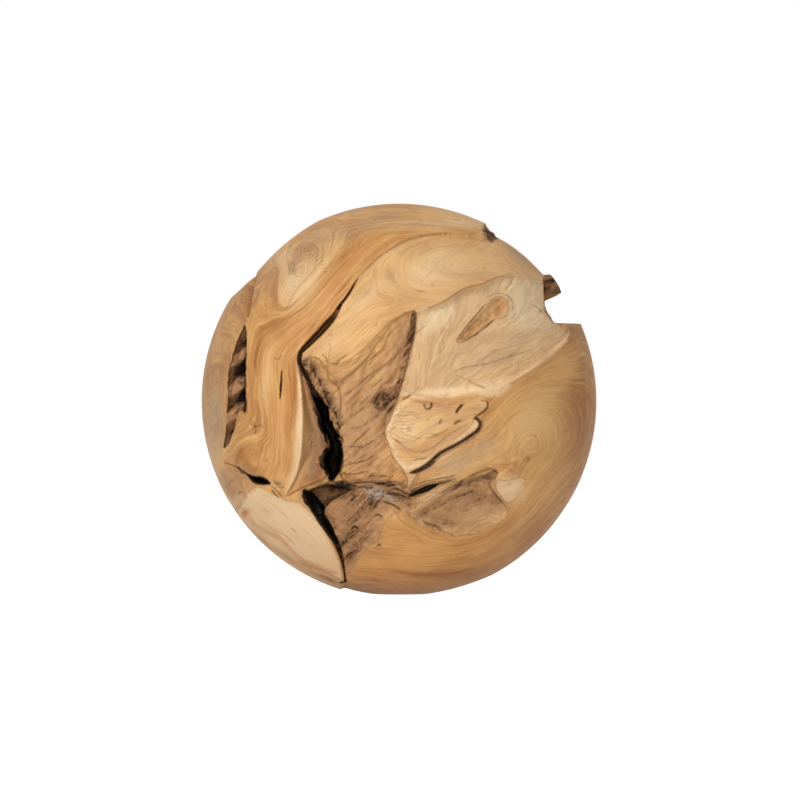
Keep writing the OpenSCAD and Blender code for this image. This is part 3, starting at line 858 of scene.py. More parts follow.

# Cracks, checks and thin bands for each channel, with painted shadow under lips and beside the clefts
# and painted highlights on rounded rims: width, amount and depth in millimetres, then the path's
# x, z, x, z... An amount under 0 takes away what lies there.
LINES = {
    Channel.SHADE: (
        # drying checks on the left lobes
        (0.5, 0.5, 0.5, -63.5, 19, -62, 21.5, -60, 20.5, -58.5, 23, -57, 22),
        (0.7, 0.8, 0.7, -75, -10, -72, -13, -69, -12, -67, -14),
        (0.6, 0.7, 0.6, -72, -17, -71.5, -13, -73.5, -9.5),
        (0.9, 0.9, 1.2, -64, -44, -62, -46.5, -60, -48.5),
        (0.8, 0.9, 0.8, -88, -31, -84, -32, -79, -34.5),
        (0.9, 0.8, 1.2, -25, -41, -17, -40.3, -9, -40.6, -1, -40),
        (0.5, 0.45, 0.3, 13, 61, 14.5, 63, 17, 65),
        # the island's holes, and the veins in its round knot
        (1.5, 0.55, 1.8, 12.4, -1.2, 13.2, -3.6, 14.6, -4.2),
        (1.3, 0.85, 2.5, 15.8, -0.6, 16.2, -2.6, 14.6, -4.2),
        (1.9, 0.9, 2.8, 28.4, -5.8, 29.4, -4, 31.6, -1.8),
        (1.5, 0.8, 2, 27.6, -11.6, 28.6, -10.4, 31, -9.6),
        (1.9, 0.5, 1.4, 20.2, -11.2, 21, -9.2),
        (0.7, 0.55, 0.6, 12.5, -19, 15, -18, 18, -17.6, 22, -15.6, 26, -12.6),
        (0.8, 0.6, 0.8, 15.4, -15.6, 17.4, -16.8, 19.4, -16),
        (0.5, 0.45, 0.3, -5, -13.6, 0, -14, 5, -13.2, 9, -10.6),
        (0.5, 0.5, 0.3, 0, -13.8, 3, -16.5, 8, -18, 12.6, -19),
        (0.5, 0.45, 0.3, -3, -6, 2, -7.4, 7, -6.8, 11.5, -10),
        (0.9, 0.75, 0.9, 1.5, 0.5, 4, 2, 6.5, 3.6),
        (0.5, 0.5, 0.4, 6, 3, 8.6, 5.6, 10.5, 7),
        (0.6, 0.4, 0.3, -3, -8, 1, -5.6, 7, -5.4, 12.6, -9.6),
        (0.5, 0.45, 0.3, 3.8, -13.2, 0.6, -9, -0.4, -6.4),
        (0.6, 0.35, 0.3, -4.8, -14.4, -3.6, -18, 1, -20.6, 8, -19.4, 12.4, -16),
        (0.9, 0.5, 0.4, 6.6, -29.6, 10, -28.8, 14, -28.4),
        (0.7, 0.6, 0.6, -5.6, 0.6, -6.4, -6, -7.4, -14),
        # the shelf, the patch and the field
        (0.8, 0.8, 1, 5, -43, 14, -39.6, 24, -38, 28.5, -36.5),
        (1.1, 0.6, 1, 46, -38, 45, -42, 47.5, -46, 50, -49, 54, -53),
        (2.2, 0.5, 1.4, 34, -38.5, 40, -35.4, 46, -33.8, 49, -36),
        (0.8, 0.5, 0.8, 12, -53, 22, -47, 32, -41.5, 41, -38.5),
        (0.8, 0.35, 0.7, 14, -56, 24, -50, 34, -45.5, 40, -44),
        (2.2, 0.55, 1.2, 12, -60, 15, -61.5, 18, -62, 21, -64),
        (1.6, 0.9, 2, -24, -64, -22, -62.5, -20.5, -63.5),
        (1.3, 0.7, 1.8, -12, -57, -10, -56.6, -8.5, -58),
        (1.2, 0.7, 1.5, -11, -73, -10, -71.5, -9, -72.5),
        (1.8, 0.85, 1.6, -6, -46, 0, -46.4, 6, -48.6),
        (1.4, 0.8, 1.6, -8, -50, -3, -51.5, 1, -54.5),
        (0.9, 0.7, 0.8, 88, -42.5, 90, -42, 91.5, -40),
        (1.8, 1, 2.4, -30, -91.5, -28, -91, -26.5, -90),
        # long splits in the wedge
        (0.8, 0.45, 1.2, -30.9, 8.6, -24.9, 12.7, -16.8, 18.8, -7.6, 25.8),
        (0.9, 0.45, 1.6, -28.4, 1.5, -21.8, 6.6, -14.7, 12.7, -6.6, 18.2),
        (0.8, 0.4, 1.3, -27.4, -2.6, -22, 3, -17, 7.4),
        (0.8, 0.4, 1.3, -26.9, -5.6, -22.8, -1.5, -16.8, 3.5),
        (0.7, 0.3, 0.9, -23.8, 17.8, -18, 22, -10.7, 27.9),
        (0.7, 0.3, 0.9, -19, 7, -12, 13, -4, 21),
        (0.8, 0.5, 1.2, -36, 17.7, -35, 10.6, -29.9, 6.6, -28.9, -3.5, -30.9, -11.6),
        (0.8, 0.75, 0.9, -34.9, 19.7, -31, 18.2, -28.9, 20.8, -24.9, 23.8),
        (0.9, 0.6, 1, -38.6, 23.6, -36.2, 21.4, -35.4, 18),
        (0.6, 0.4, 0.6, -35.5, 31, -34, 26, -35, 21.5, -34.5, 17),
        (0.8, 0.35, 1, -25, -14, -17, -12, -8.6, -5.6),
        (0.9, 0.4, 1.2, -26, -22, -18, -22.9, -11.7, -19),
        (1, 0.5, 1.4, -27, -31.9, -17.7, -29.9, -11.7, -26.9),
        (0.9, 0.45, 1.2, -30, -36, -22, -36.5, -13, -34),
        # the cleft's upper end, and painted shade on the steep sides beside the heart cleft
        (2, 1, 2, -31, 45.4, -29.4, 47.8, -27.6, 50),
        (3, 1, 0, -43.8, 4, -41.2, -2, -39.6, -6.6, -38.8, -9.4, -36, -15.6, -34, -21, -35.2, -25.4,
         -37.6, -29.4, -36, -33.6),
        (2.8, 1, 0, -31, -14, -29.8, -19, -28.6, -25, -28.6, -31, -30, -36),
        # round the bark hole
        (1.6, 0.9, 1.5, -80.6, -33, -79, -35.6, -77, -35.8),
        (0.8, 0.7, 0.8, -64.4, -42, -61, -45, -58, -48.5),
        (0.9, 0.6, 0.8, -62.6, -39.6, -61, -41.4, -58.8, -40.8),
        (0.8, 0.55, 0.8, -60.6, -42.4, -58.8, -43.4, -57.4, -42.4),
        (0.9, 0.7, 0.8, -81, -47, -79.6, -45.4, -78.4, -46.6),
        # painted shadow under the cave's lip
        (3.4, 0.9, 0, -40.5, -42.8, -35, -41, -29, -41.2, -23, -43.2),
        # the scoop's right, and painted shadow in the slits under the ragged lip over the field
        (1.2, 0.4, 1, 67.5, 48, 70, 46.4, 73, 43.6, 75.6, 40.6),
        (2.6, 0.95, 2, -29.6, -40.2, -27, -40.4, -25, -41.6, -21.5, -42.2),
        (1.4, 0.8, 1.2, -21, -43.4, -18, -42.6, -15, -43.4, -12.6, -42.2),
        (2.2, 0.95, 2, -12, -40.8, -8, -41, -5, -41.8, -2, -41.6),
        (1.6, 0.85, 1.4, -3.6, -43.2, 0, -44, 3, -45.8, 5.6, -46),
        (1, 0.5, 0.8, -16, -37.6, -10, -37, -4, -38),
        # painted shadow at the end of the island's shadow gap
        (1.6, 0.9, 0, 7, -35.8, 11, -34.4, 15.4, -32, 18, -29.6),
    ),
    Channel.BARK: (
        (1.6, 0.3, 0, -2, -19, 5, -24.4, 13, -25.4, 21, -20, 33, -11.6),
        (2, 0.22, 0, 9, -0.4, 14, -1.2, 19, -2, 24, -2.6, 29, -1),
        # the wedge's dark right edge and torn left one
        (4.6, 0.85, 0, 7.6, 43, 6.8, 36, 5.3, 28.4, 3.3, 20, 1.4, 13.2, -0.6, 6, -3.4, -2),
        (5, 0.75, 0, -46, 18, -44.5, 11, -41, 5, -37, -1, -33, -7, -30.6, -12),
        # grain lines round the lobes
        (1, 0.32, 0, -19.8, 62, -14, 68, -9.7, 72.3, -2, 77.2, 4.7, 80.7, 16.5, 83.4, 28, 84),
        (2, 0.16, 0, -40, 88.3, -30, 87.5, -18, 89, -4, 91, 12, 91.6),
        (2.8, 0.24, 0, -25.6, 82.8, -21, 84.6, -14, 86.6, -5, 88.4, 6, 89.2, 18, 88.2),
        (0.9, 0.16, 0, -70, 40, -66, 44, -62.5, 45.5, -58.7, 45, -55.6, 48, -52, 55, -46, 62, -38, 71,
         -30, 80),
        (1, 0.2, 0, -67.5, 52, -66.5, 60, -64.5, 65.5, -62, 67, -60.6, 63, -61.4, 56, -61.8, 50, -60.2, 46.5),
        (11, 0.42, 0, -45.4, 8, -42.8, -4, -41, -14, -40, -24, -40.4, -34),
        (2.4, 0.3, 0.7, -70, -71, -60, -76.8, -52.8, -80.6, -40.6, -85.1, -29, -90.4),
        (1.8, 0.35, 1.2, -87, -44, -84.6, -40.6, -81, -38.8, -77, -38.4),
        # folds and marks in the scoop, and round its knot
        (1, 0.24, 0.8, 27, 13.6, 33, 11, 39, 8, 44.8, 5.8),
        (1, 0.26, 0.7, 24.5, 13, 31.9, 16.4, 44, 18.6, 57, 22.6, 69, 26.6),
        (0.9, 0.22, 0.5, 48.6, 13.6, 60, 19, 72.7, 24.8),
        (1.1, 0.45, 0.6, 28.4, 29.8, 33, 36, 38.5, 43, 44, 49),
        (1.2, 0.5, 0.5, 31, 29.6, 37, 32.4, 43, 36.6, 48, 41),
        (0.8, 0.32, 0.3, 43, 50.6, 48.6, 54, 54.6, 52.6, 57.4, 47.6, 55, 43),
        (0.9, 0.25, 0.4, 53, 55, 56, 59, 58, 63),
        (0.9, 0.22, 0.4, 49, 54.6, 50.6, 58, 52, 62),
        (7.5, 0.5, 0, *FIELD_LIP),
        (3.2, 0.5, 0, 6.5, -35.6, 11, -34, 15, -31.4, 20.5, -26.2, 28.5, -22, 36, -17.4, 39.9, -14,
         40.8, -10.4, 38.4, -8.6),
    ),
    Channel.WARM: (
        (2.2, 0.5, 0, -1, -22, 6, -27, 14, -28, 22.5, -22.6, 34.6, -13.4),
        (2, 0.3, 0, 48, 4.4, 58, 9, 68, 15, 78, 22, 86, 29),
        # painted shade on the island's hollow face under its cream ridge
        (3.6, 0.65, 0, 7.7, 0.4, 13, -0.6, 18, -1.4, 23.3, -2, 27.6, -0.8, 33.4, 1.2, 39.2, 2),
        (0.8, 0.6, 0, -80, -53, -78.5, -54.5, -77.6, -57, -76.6, -60),
        (0.9, 0.55, 0, -73, -61, -66, -64, -60, -68, -55, -75, -50, -81),
        (3.6, 0.6, 1.4, -78, -54, -73, -62, -68, -65.4, -59.8, -69.4, -54.8, -74.5, -49.7, -79.6,
         -40.6, -83.6, -32.5, -86.6),
        (1.2, 0.5, 0, -72, -59, -64, -63.5, -57, -67.5, -51.6, -73),
    ),
    Channel.SAP: (
        (4.4, 0.85, 0, 3.7, -33.4, 14.6, -29, 25.4, -21.4, 35.6, -15.4, 38.4, -10.7),
        (2.8, 0.8, 0, 5.4, 1.2, 1, -3, -3, -8, -5, -14, -5.4, -19, -2.4, -25, -0.4, -31, 2, -34),
        # pale rims, with painted highlights on the rounded lips of the cream band and the scoop's rim
        (5.6, 0.95, 0, *CREAM_LIT_BAND),
        (2.4, 0.9, 0, *SCOOP_RIM),
        (3.6, 0.85, 0, -49.6, 18, -48.7, 5, -48.4, -10, -49.3, -26, -52, -38, -56, -46),
        (12, -0.4, 0, -44.6, 2, -42.6, -10, -42, -20, -43.6, -32, -46, -38),
    ),
    Channel.GREY: (
        (5.6, -0.5, 0, *CREAM_LIT_BAND),
        (1.4, 0.3, 0.6, 33.4, 22, 48, 25, 63.8, 29, 74, 34),
        (1.6, 0.3, 0.5, 17.5, 27, 22, 35, 27, 43),
    ),
    Channel.COMB: (
        (6.4, -0.5, 0, *CREAM_LIT_BAND),
        (3, -0.5, 0, *SCOOP_RIM),
        (7.5, 0.8, 0, *FIELD_LIP),
    ),
    Channel.TONE: (
        (2.6, 1, 0, -49.4, 17, -48.7, 5, -48.4, -10, -49.3, -26, -52, -38),
    ),
    Channel.CALM: (
        (12, 0.85, 0, -46, 6, -44, -10, -43, -24, -45, -38),
    ),
}


def strewn(count: int, first: tuple, span: tuple, sway: float, turns: tuple) -> Points:
    """Places strewn up the wedge, swaying as they go.

    Args:
        count: how many.
        first: where they start.
        span: how far they go.
        sway: how far they sway from side to side.
        turns: how quickly they sway across and up, in radians a place.

    Returns:
        The places.
    """
    steps = [(k, k / (count - 1)) for k in range(count)]
    return [(first[0] + span[0] * t + sway * math.sin(turns[0] * k),
             first[1] + span[1] * t + 4 * math.cos(turns[1] * k)) for k, t in steps]


def drawn_lines() -> list[Line]:
    """Draws all lines, with those that repeat: splits, pale fibres, torn bits and gouge marks.

    Returns:
        The lines.
    """
    rows = []
    for x, z in strewn(20, (-20, -33), (22, 66), 9, (2.4, 1.7)):
        rows.append((Channel.SHADE, (0.6, 0.34, 1.1, x - 3.2, z - 2.4, x, z + 0.3, x + 3.4, z + 2.8)))
    for x, z in strewn(16, (-17, -30), (20, 60), 8, (1.9, 2.3)):
        rows.append((Channel.SAP, (2, 0.3, 0, x - 4.6, z - 3.2, x, z + 0.6, x + 4.4, z + 3.6)))
    for x, z in ((-42, 14), (-39.4, 9.6), (-36.6, 3), (-35, -1.6), (-31.4, -7), (-30, -12.6), (-28.6, -19)):
        rows.append((Channel.SHADE, (1.5, 0.75, 1.8, x - 1, z + 2, x + 0.4, z, x + 0.2, z - 2.2)))
    for k in range(4):
        x, z = -56 + 1.1 * k, 71.5 - 0.3 * k
        rows.append((Channel.SHADE, (0.9, 0.42, 0.3, x, z, x + 0.6, z - 4.5, x + 1.4, z - 8.5)))
    for k, turn in enumerate(np.radians(np.arange(118, -2, -9))):
        radii = 8.6 + k % 3, 10.6, 12.8 + k % 2
        arc = [(-49 + r * math.cos(turn), 64.5 + r * math.sin(turn)) for r in radii]
        rows.append((Channel.SHADE, (0.7, 0.36, 0.3, *np.ravel(arc))))
    rows += [(channel, row) for channel, table in LINES.items() for row in table]
    return [Line(channel, *row[:3], np.reshape(row[3:], (-1, 2)).astype(float)) for channel, row in rows]


class Relief:
    """The turned ball's clefts, hollows, folds and seams, in the part's own places."""

    ridge_feet = (-5.5, 7.0, 21.5)  # heights at which the ridges in the side cleft start
    ridge_x = -81
    ridge_lean = math.radians(32)
    ridge_half = 2.0  # half their thickness, in place units
    ridge_reach = 4.5  # how far from them their flanks go
    ridge_flank = 2.6  # how steep the flanks are
    ridge_drop = 12.0  # how far under the turned surface they stay, in millimetres
    front_y = -12  # in front of this depth the mesh is never coarse
    rim_widths = 4.0, 1.75  # how far from a rim the mesh is middling and fine, in millimetres
    fine_line = 3  # lines from this width on need no finer mesh

    def __init__(self, mm: float) -> None:
        """Lays out every opening.

        Args:
            mm: place units in a millimetre.
        """
        self.mm = mm
        self.radial = {name: kind(stations, depth, mm, radial=True, **make)
                       for name, (kind, depth, make, stations) in ROUND_CUTS.items()}
        self.front = {name: kind(stations, depth, mm, **make)
                      for name, (kind, depth, make, stations) in FRONT_CUTS.items()}
        self.notch = Notch(21, mm)
        self.lines = drawn_lines()

    def ridges(self, points: Array, drop: Array) -> Array:
        """Leaves the slanting ridges standing in the side cleft.

        Args:
            points: points of the surface.
            drop: the side cleft's own drop there.

        Returns:
            The drop with the ridges in it.
        """
        sphere = np.sqrt(np.maximum(R * R - points[:, 0] ** 2 - points[:, 2] ** 2, 0))
        for foot in self.ridge_feet:
            crest = skin(self.ridge_x, foot)[1] + self.ridge_drop * self.mm + sphere
            across = (points[:, 2] - foot) * math.cos(self.ridge_lean)
            across -= (points[:, 0] - self.ridge_x) * math.sin(self.ridge_lean)
            side = np.abs(across) - self.ridge_half
            flank = crest + np.maximum(side, 0) * self.ridge_flank
            drop = np.where(side < self.ridge_reach, np.minimum(drop, np.maximum(flank, 0)), drop)
        return drop

    def carve(self, points: Array) -> Array:
        """Moves points of the turned ball down to the cut surface.

        Args:
            points: points of the ball, in place units.

        Returns:
            The moved points.
        """
        sunk = np.max([cut.drop(points) for cut in self.radial.values()], axis=0)
        moved = self.notch.cut(points * (1 - sunk / R)[:, None])
        ahead = np.flatnonzero(points[:, 1] < 8)
        front = moved[ahead]
        drops = {name: cut.drop(front) for name, cut in self.front.items()}
        drops["side"] = self.ridges(front, drops["side"])
        deepest = np.max(list(drops.values()), axis=0) + self.crack_depth(front)
        round_y = -np.sqrt(np.maximum(R * R - front[:, 0] ** 2 - front[:, 2] ** 2, 0))
        y = np.where(deepest > 0, np.maximum(front[:, 1], round_y + deepest), front[:, 1])
        moved[ahead, 1] = y
        return moved

    def crack_depth(self, points: Array) -> Array:
        """Cuts the fine drying cracks.

        Args:
            points: points of the surface.

        Returns:
            How deep they are at each, in place units.
        """
        deep = np.zeros(len(points))
        for crack in self.lines:
            if crack.depth:
                half = crack.width / 2 * self.mm
                gap = crack.distance(points[:, [0, 2]], 3)
                deep = np.maximum(deep, crack.depth * self.mm * smoothstep(half, half * 0.3, gap))
        return deep

    def spacing(self, points: Array) -> Array:
        """The mesh spacing that each point of the ball wants, in millimetres.

        Args:
            points: points of the ball.

        Returns:
            A spacing a point.
        """
        plain, coarse, middling, fine = 5.0, *FACET_SIZES
        edge = self.notch.measure(points)[0]
        near, inside = np.abs(edge) + 0.8, edge > 0
        for cut in self.radial.values():
            near = np.minimum(near, cut.nearness(points) + 1.5)
            inside |= cut.drop(points) > 0
        ahead = points[:, 1] < 0
        front, gap = points[ahead], near[ahead]
        held, torn = inside[ahead], np.zeros(len(points), bool)
        for cut in self.front.values():
            gap = np.minimum(gap, cut.nearness(front))
            sunk = cut.drop(front) > 0
            held |= sunk
            if cut.streaks:
                torn[ahead] |= sunk
        for line in self.lines:
            if line.width < self.fine_line:
                gap = np.minimum(gap, line.distance(front[:, [0, 2]], 4) + (0 if line.depth else 0.7))
        near[ahead], inside[ahead] = gap, held
        want = np.where((points[:, 1] < self.front_y) | inside, coarse, plain)
        want = np.where(torn | (near < self.rim_widths[0] * self.mm), middling, want)
        return np.where(near < self.rim_widths[1] * self.mm, fine, want)


# Lines of equal age that show in each lobe's surface: age in rings, then x, z, x, z...
STROKES = {
    "sweep": (
        (-1, -20, 61, -28, 52, -36, 40, -45, 29, -50, 21, -50.5, 15, -50, 5, -49, -10, -50, -25, -53, -38),
        (1.5, -14, 67, -24, 58, -33, 47, -42, 37, -50, 28, -54, 20, -54.5, 5, -54, -10, -54, -25, -56, -38),
        (5, -10, 74, -20, 66, -30, 55, -38, 45, -47, 36, -56, 28, -60, 18, -60, 0, -59, -20, -60, -35),
        (10, -8, 79, -20, 73, -30, 62, -38, 53, -47, 44, -57, 37, -66, 30, -69, 20, -68, 0, -66, -18),
        (14, -18, 82, -30, 70, -40, 58, -48, 50, -55, 44.5, -62, 41, -70, 37, -74, 25, -75, 5, -76, -10),
        (17, -25, 82, -33, 70, -42, 60, -50, 51, -56, 46, -61, 49, -61.5, 58, -60, 66),
        (24, -49, 68, -46, 65, -49, 62, -52, 65),
        (15, -75, 38, -73, 46, -70, 54, -66, 61, -62, 66),
        (4, -12, 70, -4, 77, 4, 80, 12, 82),
        (8, -12, 77, 0, 82.5, 10, 83.5),
        (13, -18, 81, -10, 84, 0, 85, 12, 85, 25, 84.8, 41, 84),
        (16, -24, 83.5, -10, 88, 0, 88, 15, 87.5, 30, 86.5, 40, 84.8),
        (20, -45, 84, -30, 88.5, -10, 92, 0, 92.5, 8, 93),
        (9, -77, -27, -75, -24, -72, -27, -75, -30),
    ),
    "side": (
        (6, -95, 5, -93, 13, -90, 16.5, -89, 10, -88.5, -5),
        (1, -91, 26, -88, 31, -84.5, 28, -84, 20, -86, 0),
        (-3, -90, 42, -84, 44, -79, 38),
        (10, -96, -6, -94, 4, -92, 6, -91, -8),
        (9, -95, -24, -92, -20, -90, -26),
    ),
    "fan": (
        (10, 4, 80, -4, 75, -9, 69, -10, 62, -7, 56, 0, 52, 8, 50),
        (15, 12, 80, 3, 76, -2, 70, -3, 63, 0, 57, 8, 54, 18, 53),
        (20, 22, 80, 10, 77, 4, 72, 3, 65, 6, 60, 14, 57, 26, 57),
        (25, 30, 78, 18, 75, 11, 71, 10, 66, 14, 62, 24, 60, 36, 60.5),
        (30, 40, 76, 28, 73, 20, 70, 18, 67.5, 22, 65, 34, 63.5, 46, 64),
        (35, 30, 69, 45, 70, 60, 66),
        (-2, -31, 45, -24, 53, -17, 62, -12, 69),
        (2, -35, 36, -25, 46, -14, 57, -11, 63),
        (4, -40, 28, -28, 38, -16, 48, -4, 52),
        (7, -44, 22, -32, 30, -20, 40, -8, 46, 4, 48.5, 14, 48.5),
        (11, -36, 20, -24, 28, -12, 36, 0, 43.5),
    ),
    "scoop": (
        (0, 6, 6, 7, 24, 8, 44),
        (5, 12, 6, 16, 26, 22, 48),
        (11, 17, 6, 28, 30, 36, 46, 42, 58),
        (14, 38, 37, 47, 46, 52, 54, 52, 63),
        (16.5, 52, 40, 58, 48, 62, 55, 63, 62),
        (19, 60, 40, 68, 48, 73, 58),
        (22, 22, 6, 38, 22, 56, 32, 74, 42),
        (27, 26, 3, 42, 13, 60, 23, 80, 33),
        (32, 36, 3, 46, 7, 60, 14, 76, 24),
    ),
    "right": (
        (0, 47, 3, 52, 8, 60, 13, 70, 18.5, 80, 25),
        (4, 47, -5, 55, 3, 65, 9, 78, 13, 88, 15),
        (8, 45, -15, 52, -6, 62, 0, 75, 5, 88, 3),
        (11, 60, -5, 75, -3, 83, -9, 84, -18, 79, -27, 66, -45, 58, -57, 52, -63, 40, -69, 28, -71.5, 15, -71,
         5, -67, -8, -62),
        (15, 50, -30, 60, -28, 70, -25),
        (11, 12, -36, 22, -31, 34, -24.5, 44, -20),
        (14.5, 10, -42, 24, -36, 38, -31, 46, -29),
        (9, -12, -73, 0, -74, 15, -75, 30, -75, 45, -70),
        (6, -22, -78, -5, -79, 10, -80.5, 25, -79, 40, -75, 52, -68, 62, -60, 72, -50, 82, -38),
        (2, -20, -84, 0, -85.5, 15, -87, 30, -86, 45, -81, 58, -72, 70, -60, 80, -48),
        (-2, -20, -90, 0, -92, 20, -92, 35, -89, 50, -82, 62, -74, 75, -60),
    ),
    "patch": (
        (0, 5, -58, 15, -51, 25, -45.5, 37, -40, 46, -38),
        (4, 10, -61, 20, -56, 30, -53, 42, -50, 50, -50),
        (7, 20, -65, 30, -62, 40, -58),
        (-6, 14, -38, 26, -30, 38, -24, 50, -20),
        (-10, 30, -24, 42, -14, 52, -8),
    ),
    "island": (
        (0, 0, -30, 10, -30, 20, -22, 30, -16, 38, -11),
        (4, -3, -20, 4, -24, 12, -20, 22, -13),
        (9, -3, -10, 6, -10, 18, -6, 30, -4),
        (12, 5, 2, 15, -1, 25, 1, 33, 2, 42, 0),
    ),
    "lower_left": (
        (0, -75, -50, -62, -60, -50, -70, -35, -84),
        (6, -62, -52, -52, -60, -42, -70, -32, -84),
        (-6, -80, -56, -68, -67, -55, -77, -40, -87),
    ),
}
RING_SHARE = {"right": 2.2}  # rings to one step of those ages

# Outlines of the lobes on the open face. What lies in none of them is the right lobe.
SEAM_PATH = [
    (45, 86), (38, 84.7), (31, 84), (16, 82.7), (8, 82), (0.5, 78), (-9.5, 73), (-14.5, 67), (-20.5, 61),
    (-25, 53.5), (-28, 49.5), (-32.5, 42), (-36, 38), (-40.5, 33), (-45.5, 28), (-49, 24), (-49.5, 19),
]
HEART_PATH = [
    (-47, 13), (-44, 6.5), (-41.5, 0.5), (-38, -5), (-35.5, -12), (-33, -20), (-32.5, -27.5), (-34.5, -38.5),
]
SWEEP_FOOT = [(-41, -41), (-48, -43.5), (-57, -48), (-65, -46.5), (-71, -43), (-80, -36), (-90, -34)]
SIDE_PATH = [(-88, -22), (-86, -10), (-84, 5), (-80, 25), (-76.5, 40), (-77, 50), (-77.5, 62)]
LOBES = {
    "sweep": [*SEAM_PATH, *HEART_PATH, *SWEEP_FOOT, *SIDE_PATH, (-60, 84), (-60, 120), (50, 120)],
    "pale": [(-60.3, 63.8), (-61.2, 56.2), (-60, 49.9), (-57.8, 46.4), (-52.5, 49.3), (-47.7, 55.6),
        (-42, 60.7), (-36.9, 67.6), (-32.5, 72.7), (-28, 77.1), (-24.9, 82.8), (-26.1, 87.9), (-35, 88.5),
        (-43.9, 84.7), (-54, 78.4), (-61.6, 71.4)],
    "finger": [(-73.6, 51.2), (-71.7, 56.2), (-68.6, 61.3), (-65.4, 64.5), (-62.6, 65.7), (-60.7, 63.8),
        (-61.2, 56.2), (-60, 49.9), (-57.8, 46.4), (-59.7, 41), (-66.7, 39.8), (-71.7, 43.6)],
    "side": [(-77.5, 62), *SIDE_PATH[::-1], (-90, -34), (-80, -36), (-71, -43), (-76, -47), (-78.5, -52),
        (-82, -57), (-120, -60), (-120, 62)],
    "fan": [*SEAM_PATH, (-43.5, 22), (-34.5, 18.5), (-25.5, 20.5), (-16, 28), (-5.5, 38.5), (0, 42),
        (7.5, 45), (22, 49.5), (33, 56.5), (40.5, 58), (49, 62), (58, 64), (66, 61.5), (72.5, 60), (80, 60),
        (120, 60), (120, 120), (60, 120)],
    "lower_left": [(-120, -60), (-82, -57), (-78.5, -52), (-76, -47), (-71, -43), (-57, -49.8),
        (-49.5, -50.8), (-42.5, -57.5), (-37.5, -65), (-33, -74), (-30, -81), (-28, -93), (-28, -120),
        (-120, -120)],
    "scoop": [(0, 2), (2, 9), (3.5, 18), (6.5, 28), (8, 36), (7.5, 45), (14, 48), (16, 20), (14, 6), (9, 3)],
    "patch": [(-6, -37), (3, -35.6), (7, -35), (10, -38), (6, -46), (2, -48), (-5, -43)],
    "island": [(-2, -29), (3, -36), (6.5, -35.2), (11, -33.6), (15, -31), (20.5, -25.8), (28.5, -21.6),
        (36, -17), (39.7, -13.8), (40.4, -10.5), (38.2, -8.4), (44.5, -2.2), (42, 2), (36, 3.8), (23, 0.8),
        (9, 3), (0, 0), (-4, -8), (-7, -14.5), (-5.5, -21)],
}

# The smooth part of the upper lobe that runs down into the wedge.
WEDGE_LAP = [
    (-41, 23), (-36.9, 17), (-35, 14.4), (-32.5, 11.9), (-30.6, 8.4), (-27.4, 9.4), (-21.1, 15.7),
    (-14.7, 23.3), (-7.1, 33.4), (-2.1, 39.8), (3, 44.2), (-5, 42), (-16, 31), (-25, 23), (-34, 21),
]


class Growth:
    """How the root's growth layers run through the surface of each lobe."""

    pith = np.array([18.0, 30.0, -8.0])
    run = np.array([0.45, -0.25, 0.86])  # the pith's course
    lean = math.radians(44)  # of the layers in the wedge
    limb = -11, 5  # where the front's and the back's layers are matched: depth and half width
    turn = -30, 8  # depths between which the front's layers give way to the back's
    ring = 0.42  # rings to a place unit on the far side
    torn_ring = 0.8  # and in the wedge

    def __init__(self) -> None:
        """Fits a figure for each lobe."""
        self.figures = {name: Figure(rows, RING_SHARE.get(name, 1.0)) for name, rows in STROKES.items()}
        self.figures["pale"] = self.figures["finger"] = self.figures["sweep"]
        self.noise = Noise(23)

    def lobe_of(self, points: Array, relief: Relief) -> Array:
        """Names the lobe that each point of the open face lies on.

        Args:
            points: points of the cut surface.
            relief: what is cut into the ball.

        Returns:
            A name a point.
        """
        places = points[:, [0, 2]]
        names = np.full(len(points), "right", dtype="U12")
        for name, outline in LOBES.items():
            names[within(places, outline)] = name
        for cut, name in (("scoop", "scoop"), ("patch", "patch"), ("inset", "patch"), ("wedge", "wedge"),
                          ("field", "wedge"), ("knot", "wedge")):
            names[relief.front[cut].inside(points, 0.2) > 0.5] = name
        names[within(places, WEDGE_LAP)] = "fan"
        return names

    def age(self, points: Array, names: Array) -> Array:
        """The age of the layer at each point.

        Args:
            points: points of the cut surface.
            names: the lobe that each is on.

        Returns:
            An age in rings a point.
        """
        places = points[:, [0, 2]]
        front = np.zeros(len(points))
        for name, figure in self.figures.items():
            held = names == name
            if held.any():
                front[held] = figure.age(places[held])
        torn = names == "wedge"
        front[torn] = (places[torn] @ np.array([-math.sin(self.lean), math.cos(self.lean)])) * self.torn_ring
        inner = self.around(points)
        limb = np.abs(points[:, 1] - self.limb[0]) < self.limb[1]
        inner -= np.mean((inner - front)[limb])
        hidden = smoothstep(*self.turn, points[:, 1])
        return front * (1 - hidden) + inner * hidden

    def around(self, points: Array) -> Array:
        """Lays rings about the root's pith, for the ball's far side.

        Args:
            points: points of the surface.

        Returns:
            An age in rings a point.
        """
        run = self.run / np.linalg.norm(self.run)
        away = points - self.pith
        flat = away - np.outer(away @ run, run)
        bend = self.noise.at(points / 45) * 9
        return (np.linalg.norm(flat * np.array([1.0, 0.8, 1.0]), axis=1) + bend) * self.ring


